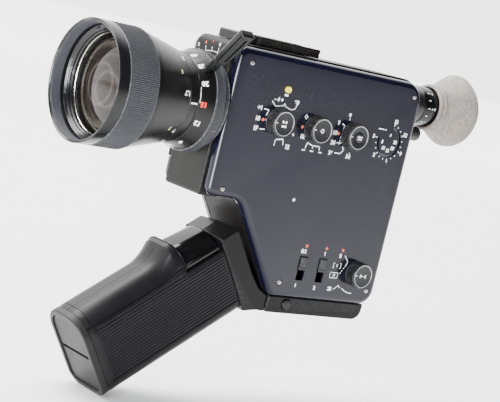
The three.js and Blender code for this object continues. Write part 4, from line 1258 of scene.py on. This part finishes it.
def makeEyecup():
    look = {"neck": 79.0, "rim": 88.0, "wing": 3.6, "lift": 1.6}
    centreZ = centreOf("diopter_ring").z
    profile = [(66.4, 12.2), (66.4, 13.3), (66.9, 14.2), (67.8, 14.45), (68.7, 14.1), (69.1, 13.6),
        (69.6, 13.6), (70.1, 14.2), (71.0, 14.7), (71.9, 14.5), (72.4, 14.1), (73.3, 14.2), (75.6, 15.3),
        (78.6, 17.0), (82, 18.9), (85.4, 20.7), (87.2, 21.5), (88.0, 21.8), (88.5, 21.6), (88.8, 20.9),
        (88.2, 20.3), (86.6, 19.2), (84.0, 17.2), (80, 14.3), (76.6, 11.6), (74.6, 10.0), (73.4, 9.7),
        (72.2, 9.8), (72.1, 11.0), (72.0, 12.1), (69.0, 12.2)]
    steps = 48
    points = []
    for station, radius in profile:
        for step in range(steps):
            angle = 2 * math.pi * step / steps
            across, up = radius * math.cos(angle), radius * math.sin(angle)
            reach = max(0.0, (station - look["neck"]) / (look["rim"] - look["neck"]))
            outward = max(0.0, -math.cos(angle))
            sag = 0.25 * reach * math.sin(3 * angle + 0.7)
            points.append((station + look["wing"] * reach * outward + sag * 0.4, across,
                           centreZ + up + look["lift"] * reach * max(0.0, math.sin(angle)) ** 3))
    faces = []
    for index in range(len(profile)):
        after = (index + 1) % len(profile)
        for step in range(steps):
            turn = (step + 1) % steps
            faces.append((index * steps + step, index * steps + turn, after * steps + turn,
                after * steps + step))
    cup = newObject("eyecup", points, faces, "rubber", 180)
    change = cup.modifiers.new("smooth", "SUBSURF")
    change.levels = change.render_levels = 1
    applyModifiers(cup)
    tidyNormals(cup, 180)
    settle(cup, "eyecup", "old_rubber", "eyecup")


makeEyepiece()
makeEyecup()
print("eyepiece made")


# the folding grip; u runs up the grip towards the pivot, v towards the fingers
gripLook = {"tilt": 35.0, "end": -121.6, "top": -28.3, "rear": 12.0, "front": 63.0, "half": 18.0,
    "skin": 1.6, "frontRadius": 14.0, "rearRadius": 8.0, "ribPitch": 1.86, "ribDepth": 0.26,
    "ribs": (20.0, 52.8), "seam": 55.2}
pivotPlace = centreOf("fold_pin")
tiltC, tiltS = math.cos(math.radians(gripLook["tilt"])), math.sin(math.radians(gripLook["tilt"]))


def onGrip(u, y, v):
    return (pivotPlace.x + tiltC * u - tiltS * v, y, pivotPlace.z + tiltS * u + tiltC * v)


def lengthwise(across, along, out):
    return onGrip(along, across, out)


def gripCorners(inset):
    k = gripLook
    corners = [
        (-k["half"], k["front"], k["frontRadius"]), (-k["half"], k["rear"], k["rearRadius"]),
        (k["half"], k["rear"], k["rearRadius"]), (k["half"], k["front"], k["frontRadius"])]
    return insetCorners(corners, inset) if inset else corners


def halfSection():
    # (y, v, outward y, outward v, length along the side from v = ribs start)
    k = gripLook
    r, half, front, rear = k["frontRadius"], k["half"], k["front"], k["rear"]
    path = [(-0.15, front, 0.0, 1.0), (-1.5, front, 0.0, 1.0), (-3.0, front, 0.0, 1.0)]
    for n in range(91):
        angle = math.radians(90 + n)
        if n > 40 or n % 4 == 0:
            path.append((-half + r + r * math.cos(angle), front - r + r * math.sin(angle), math.cos(angle),
                math.sin(angle)))
    v = front - r - 0.23
    while v > k["ribs"][0] - 0.6:
        path.append((-half, v, -1.0, 0.0))
        v -= 0.23
    back = k["rearRadius"]
    for n in range(13):
        angle = math.radians(180 + 7.5 * n)
        path.append((-half + back + back * math.cos(angle), rear + back + back * math.sin(angle),
            math.cos(angle), math.sin(angle)))
    path += [(-5.0, rear, 0.0, -1.0), (-0.15, rear, 0.0, -1.0)]
    return path


def gripShell(name, side):
    k = gripLook
    path = halfSection()
    stations = [k["end"], -119.4, -118.6, -118.4, -118.0, -117.8, -117.0, -116.6, -116.2, -110, -100, -92,
        -86, -82]
    stations += [-79, -77, -75, -73, -71, -69, -67, -65.5, -64, -62.5, -61, -59.5, -58, -56.5, -54.8, -50,
        -44, -38, -33, -30.4]
    stations += [-30.0, -29.6, -29.2, k["top"] - 0.5, k["top"]]

    def rise(u):
        t = max(0.0, min(1.0, (u + 74) / 16))
        return 6.6 * t ** 2.0

    def sunk(u, v):
        ribStart, ribEnd = k["ribs"]
        ribEnd += 1.4 if u < -56.5 else -1.9
        fade = max(0.0, min(1.0, (u + 116.9) / 0.6, (-29.3 - u) / 0.6))
        depth = 0.0
        if ribStart < v < ribEnd:
            phase = (v - ribStart) / k["ribPitch"] * 2 * math.pi
            depth = k["ribDepth"] * fade * min(1.0, max(0.0, 0.62 - 0.75 * math.cos(phase)))
        if abs(v - k["seam"]) < 0.5:
            depth = 0.7 * (1 - abs(v - k["seam"]) / 0.5) ** 0.5
        if v > k["seam"] and -118.5 < u < -117.9:
            depth = 0.35
        return depth

    points = []
    for u in stations:
        shrink = 0.4 if u in (k["end"], k["top"]) else 0.0
        for y, v, outY, outV in path:
            depth = sunk(u, v) + shrink
            lift = rise(u) * max(0.0, min(1.0, (v - 52.5) / 7.5)) ** 1.1 if u < -54 else 0.0
            stay = 0.0 if y > -0.2 else 1.0
            points.append(onGrip(u, side * (y - outY * depth * stay), v - outV * depth + lift))
    count = len(path)
    faces = [tuple(range(count)), tuple(reversed(range((len(stations) - 1) * count,
        len(stations) * count)))]
    for row in range(len(stations) - 1):
        for index in range(count):
            after = (index + 1) % count
            faces.append((row * count + index, row * count + after, (row + 1) * count + after,
                (row + 1) * count + index))
    shell = newObject(name, points, faces, "gripPlastic", 38)
    # the collar beside the battery cap is darker
    shell.data.materials.append(finishes["bracketBlack"])
    for row in range(len(stations) - 1):
        for index, (y, v, outY, outV) in enumerate(path):
            if stations[row + 1] <= -118.0 and v > k["seam"]:
                shell.data.polygons[2 + row * count + index].material_index = 1

    hollow = slabMesh("cut", gripCorners(k["skin"]), k["end"] - 1, k["top"] - 2, "darkInside",
        place=lengthwise)
    bay = blockMesh("cut", (-54.6, -30, 52.9), (0, 30, 90), place=onGrip)
    well = blockMesh("cut", (-54.1, -15.6, 46), (k["top"] - 2.5, 15.6, 80), place=onGrip)
    carve(shell, [bay, well, hollow], sharp=38)
    return shell


def creaseBracket(item):
    # the finger side is two gentle facets that meet at a thin seam in the middle plane
    work = bmesh.new()
    work.from_mesh(item.data)
    for y in (-0.3, -0.12, 0.12, 0.3):
        everything = work.verts[:] + work.edges[:] + work.faces[:]
        bmesh.ops.bisect_plane(work, geom=everything, plane_co=(0, y * mm, 0), plane_no=(0, 1, 0),
            dist=1e-7)
    for vertex in work.verts:
        u, y, v = vertex.co / mm
        if v > 50:
            v -= max(0.0, abs(y) - 0.3) / 18 * 1.7 - 0.5
            if abs(y) < 0.2:
                v -= 0.5
        vertex.co = Vector(onGrip(u, y, v)) * mm
    work.to_mesh(item.data)
    work.free()
    tidyNormals(item, 30)
    weigh(item)


def makeGrip():
    k = gripLook
    near = gripShell("gripLeftShell", 1)
    plate = slabMesh("plate", [(-18.3, 70.0, 12.5), (-18.3, 54.6, 1.5), (18.3, 54.6, 1.5),
        (18.3, 70.0, 12.5)],
                     -54.62, -54.0, "glossBlack", 0.25, 0.25, steps=14, place=lengthwise)
    settle(near, "grip", "grip_plastic", "grip_left_shell")
    settle(plate, "grip", "gloss_black")
    settle(gripShell("gripRightShell", -1), "grip", "grip_plastic", "grip_right_shell")

    arm = [(-28, k["rear"], 0.8), (-19, 7.2, 6), (-15.1, 4, 0.8), (-9.5, 12, 1.2), (-13.2, 19, 4),
        (-14.8, 30, 4), (-14.8, 61, 2.5), (-28, 61, 1.2)]
    solid = slabMesh("arm", arm, -k["half"], k["half"], "bracketBlack", 0.9, 0.9, steps=8, rimSteps=5)
    creaseBracket(solid)
    barrel = rodMesh("barrel", "y", -7.5, 7.5, 4.0, (pivotPlace.x, pivotPlace.z), "bracketBlack", 64)
    neck = slabMesh("neck", [(-14.9, 4.6, 0), (-3, -2.6, 0), (3, 2.6, 0), (-10.4, 11.2, 0)], -7.5, 7.5,
        "bracketBlack", place=onGrip)
    carve(barrel, [rodMesh("cut", "y", -20, 20, 2.1, (pivotPlace.x, pivotPlace.z))])
    carve(neck, [rodMesh("cut", "y", -20, 20, 3.9, (pivotPlace.x, pivotPlace.z))])
    settle(joined("gripBracket", [solid, barrel, neck]), "grip", "grip_plastic", "grip_bracket")

    def triggerPlace(a, d, b):
        # the crown of the trigger falls away towards the pivot
        share = max(0.0, (b - 50) / 16)
        return onGrip(d, a, b - (d + 53.2) * 0.09 * share)

    crown = slabMesh("crown", [(-15, 65.9, 10.5), (-15, 49, 1), (15, 49, 1), (15, 65.9, 10.5)], -53.2,
        -29.5, "glossBlack", 0.8, 1.4, steps=14, place=triggerPlace)
    lip = slabMesh("lip", [(-53.0, 57.4, 1.0), (-53.0, 54.9, 0.9), (-29.8, 54.9, 0.5),
        (-29.8, 57.0, 0.9)], -17.2, 17.2, "glossBlack", 0.7, 0.7, steps=6, place=onGrip)
    trigger = joined("trigger", [crown, lip])
    settle(trigger, "trigger", "gloss_black", "trigger")

    lid = slabMesh("batteryCap", gripCorners(0), k["end"] - 4.4, k["end"] - 0.3, "capPlastic", 0.9, 0.3,
        steps=14, place=lengthwise)
    recess = slabMesh("cut", gripCorners(2.9), k["end"] - 6, k["end"] - 3.5, "darkInside", steps=14,
        place=lengthwise)
    slot = blockMesh("cut", (k["end"] - 6, -14, 36.2), (k["end"] - 1.6, 14, 38.3), place=onGrip)
    carve(lid, [recess, slot], edge=0.2)
    settle(lid, "battery_cap", "cap_grey", "battery_cap")


makeGrip()
print("grip made")


# the inner parts keep their CAD shape and get a finish
inner = {
    "film_bay": "darkInside", "film_gate": "steel", "sound_head": "zinc", "drive_gear": "brass",
    "capstan": "steel",
    "motor": "zinc", "motor_pinion": "brass", "take_up_spindle": "dialPlastic",
    "shutter_disc": "darkInside",
    "battery_carrier": "darkInside", "trigger_spring": "steel", "counter_disc": "discGrey",
    "lens_tube": "barrelBlack"}
inner.update({"battery_cell_%d" % n: "zinc" for n in range(1, 7)})
for node, finish in inner.items():
    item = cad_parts[node]
    item.data.materials.clear()
    item.data.materials.append(finishes[finish])
print("inner parts finished")


def makeStage():
    look = {"floorZ": -0.0575, "half": 7.0, "colour": (0.88, 0.885, 0.88), "haze": (2.8, 2.8, 2.8)}
    work = bmesh.new()
    bmesh.ops.create_grid(work, x_segments=4, y_segments=4, size=look["half"])
    mesh = bpy.data.meshes.new("floor")
    work.to_mesh(mesh)
    work.free()
    floor = bpy.data.objects.new("floor", mesh)
    floor.location = (0, 0, look["floorZ"])
    bpy.context.scene.collection.objects.link(floor)
    finish = Finish("floorPaint")
    tone = finish.noise(260, 3)
    shade = finish.mix(tone, look["colour"], tuple(channel * 0.96 for channel in look["colour"]))
    # behind the camera body the floor glows a little, so that it runs into the pale surroundings
    behind = finish.node("VectorMath", {"operation": "DOT_PRODUCT"},
        {0: finish.place, 1: (0.64, 0.77, 0.0)}, "Value")
    far = behind.math("MINIMUM", behind.math("MAXIMUM", behind, 0.0) / 3.0, 1.0)
    glow = finish.mix(far, (0, 0, 0), look["haze"])
    mesh.materials.append(finish.set(colour=shade, roughness=0.75 + tone * 0.1, glow=glow, glowStrength=1.0,
                                     normal=finish.bump(tone, 0.2)))


def makeLight(name, look):
    data = bpy.data.lights.new(name, "AREA")
    data.shape = "RECTANGLE"
    data.size, data.size_y = look["size"]
    data.energy = look["power"]
    data.color = look.get("colour", (1, 1, 1))
    item = bpy.data.objects.new(name, data)
    item.location = look["place"]
    aim = Vector(look["target"]) - Vector(look["place"])
    item.rotation_euler = aim.to_track_quat("-Z", "Y").to_euler()
    item.visible_camera = False
    bpy.context.scene.collection.objects.link(item)


def makeWorld():
    # bright behind the camera body as seen in the main view, darker on the control side
    look = {"bright": (3.6, 3.6, 3.6, 1), "dark": (0.07, 0.07, 0.1, 1), "strength": 1.0}
    world = bpy.data.worlds.new("studio")
    world.use_nodes = True
    bpy.context.scene.world = world
    nodes, links = world.node_tree.nodes, world.node_tree.links
    place = nodes.new("ShaderNodeTexCoord")
    split = nodes.new("ShaderNodeSeparateXYZ")
    ramp = nodes.new("ShaderNodeMapRange")
    mix = nodes.new("ShaderNodeMix")
    mix.data_type = "RGBA"
    ramp.interpolation_type = "SMOOTHSTEP"
    ramp.inputs["From Min"].default_value = -0.25
    ramp.inputs["From Max"].default_value = 0.4
    links.new(place.outputs["Generated"], split.inputs[0])
    links.new(split.outputs["Y"], ramp.inputs["Value"])
    links.new(ramp.outputs["Result"], mix.inputs[0])
    mix.inputs[6].default_value = look["dark"]
    mix.inputs[7].default_value = look["bright"]
    back = nodes["Background"]
    links.new(mix.outputs[2], back.inputs["Color"])
    back.inputs["Strength"].default_value = look["strength"]


def makeCamera():
    # the lens, the place and the three axes of the view, worked out from the photo's perspective
    look = {"lens": 119.35, "sensor": 36.0, "place": (-0.6589, -0.7275, 0.1683),
            "right": (0.7634, -0.6023, 0.2334), "up": (-0.1096, 0.2353, 0.9657),
            "back": (-0.6366, -0.7628, 0.1136)}
    data = bpy.data.cameras.new("camera")
    data.sensor_width = look["sensor"]
    data.lens = look["lens"]
    data.clip_end = 50
    item = bpy.data.objects.new("camera", data)
    turn = Matrix((look["right"], look["up"], look["back"])).transposed().to_4x4()
    item.matrix_world = Matrix.Translation(look["place"]) @ turn
    bpy.context.scene.collection.objects.link(item)
    bpy.context.scene.camera = item


lamps = {
    "overhead": {"place": (-0.6, 0.7, 1.9), "target": (-0.03, 0, 0.07), "size": (1.8, 1.8), "power": 170},
    "key": {"place": (-1.5, 0.2, 1.1), "target": (-0.03, 0, 0.07), "size": (0.6, 0.6), "power": 7},
    "edge": {"place": (-0.74, -0.46, 0.08), "target": (-0.1, -0.02, 0.1), "size": (0.3, 0.5), "power": 18,
             "colour": (0.93, 0.96, 1.0)}}
makeStage()
makeWorld()
for name, look in lamps.items():
    makeLight(name, look)
makeCamera()
print("stage, light and camera made")
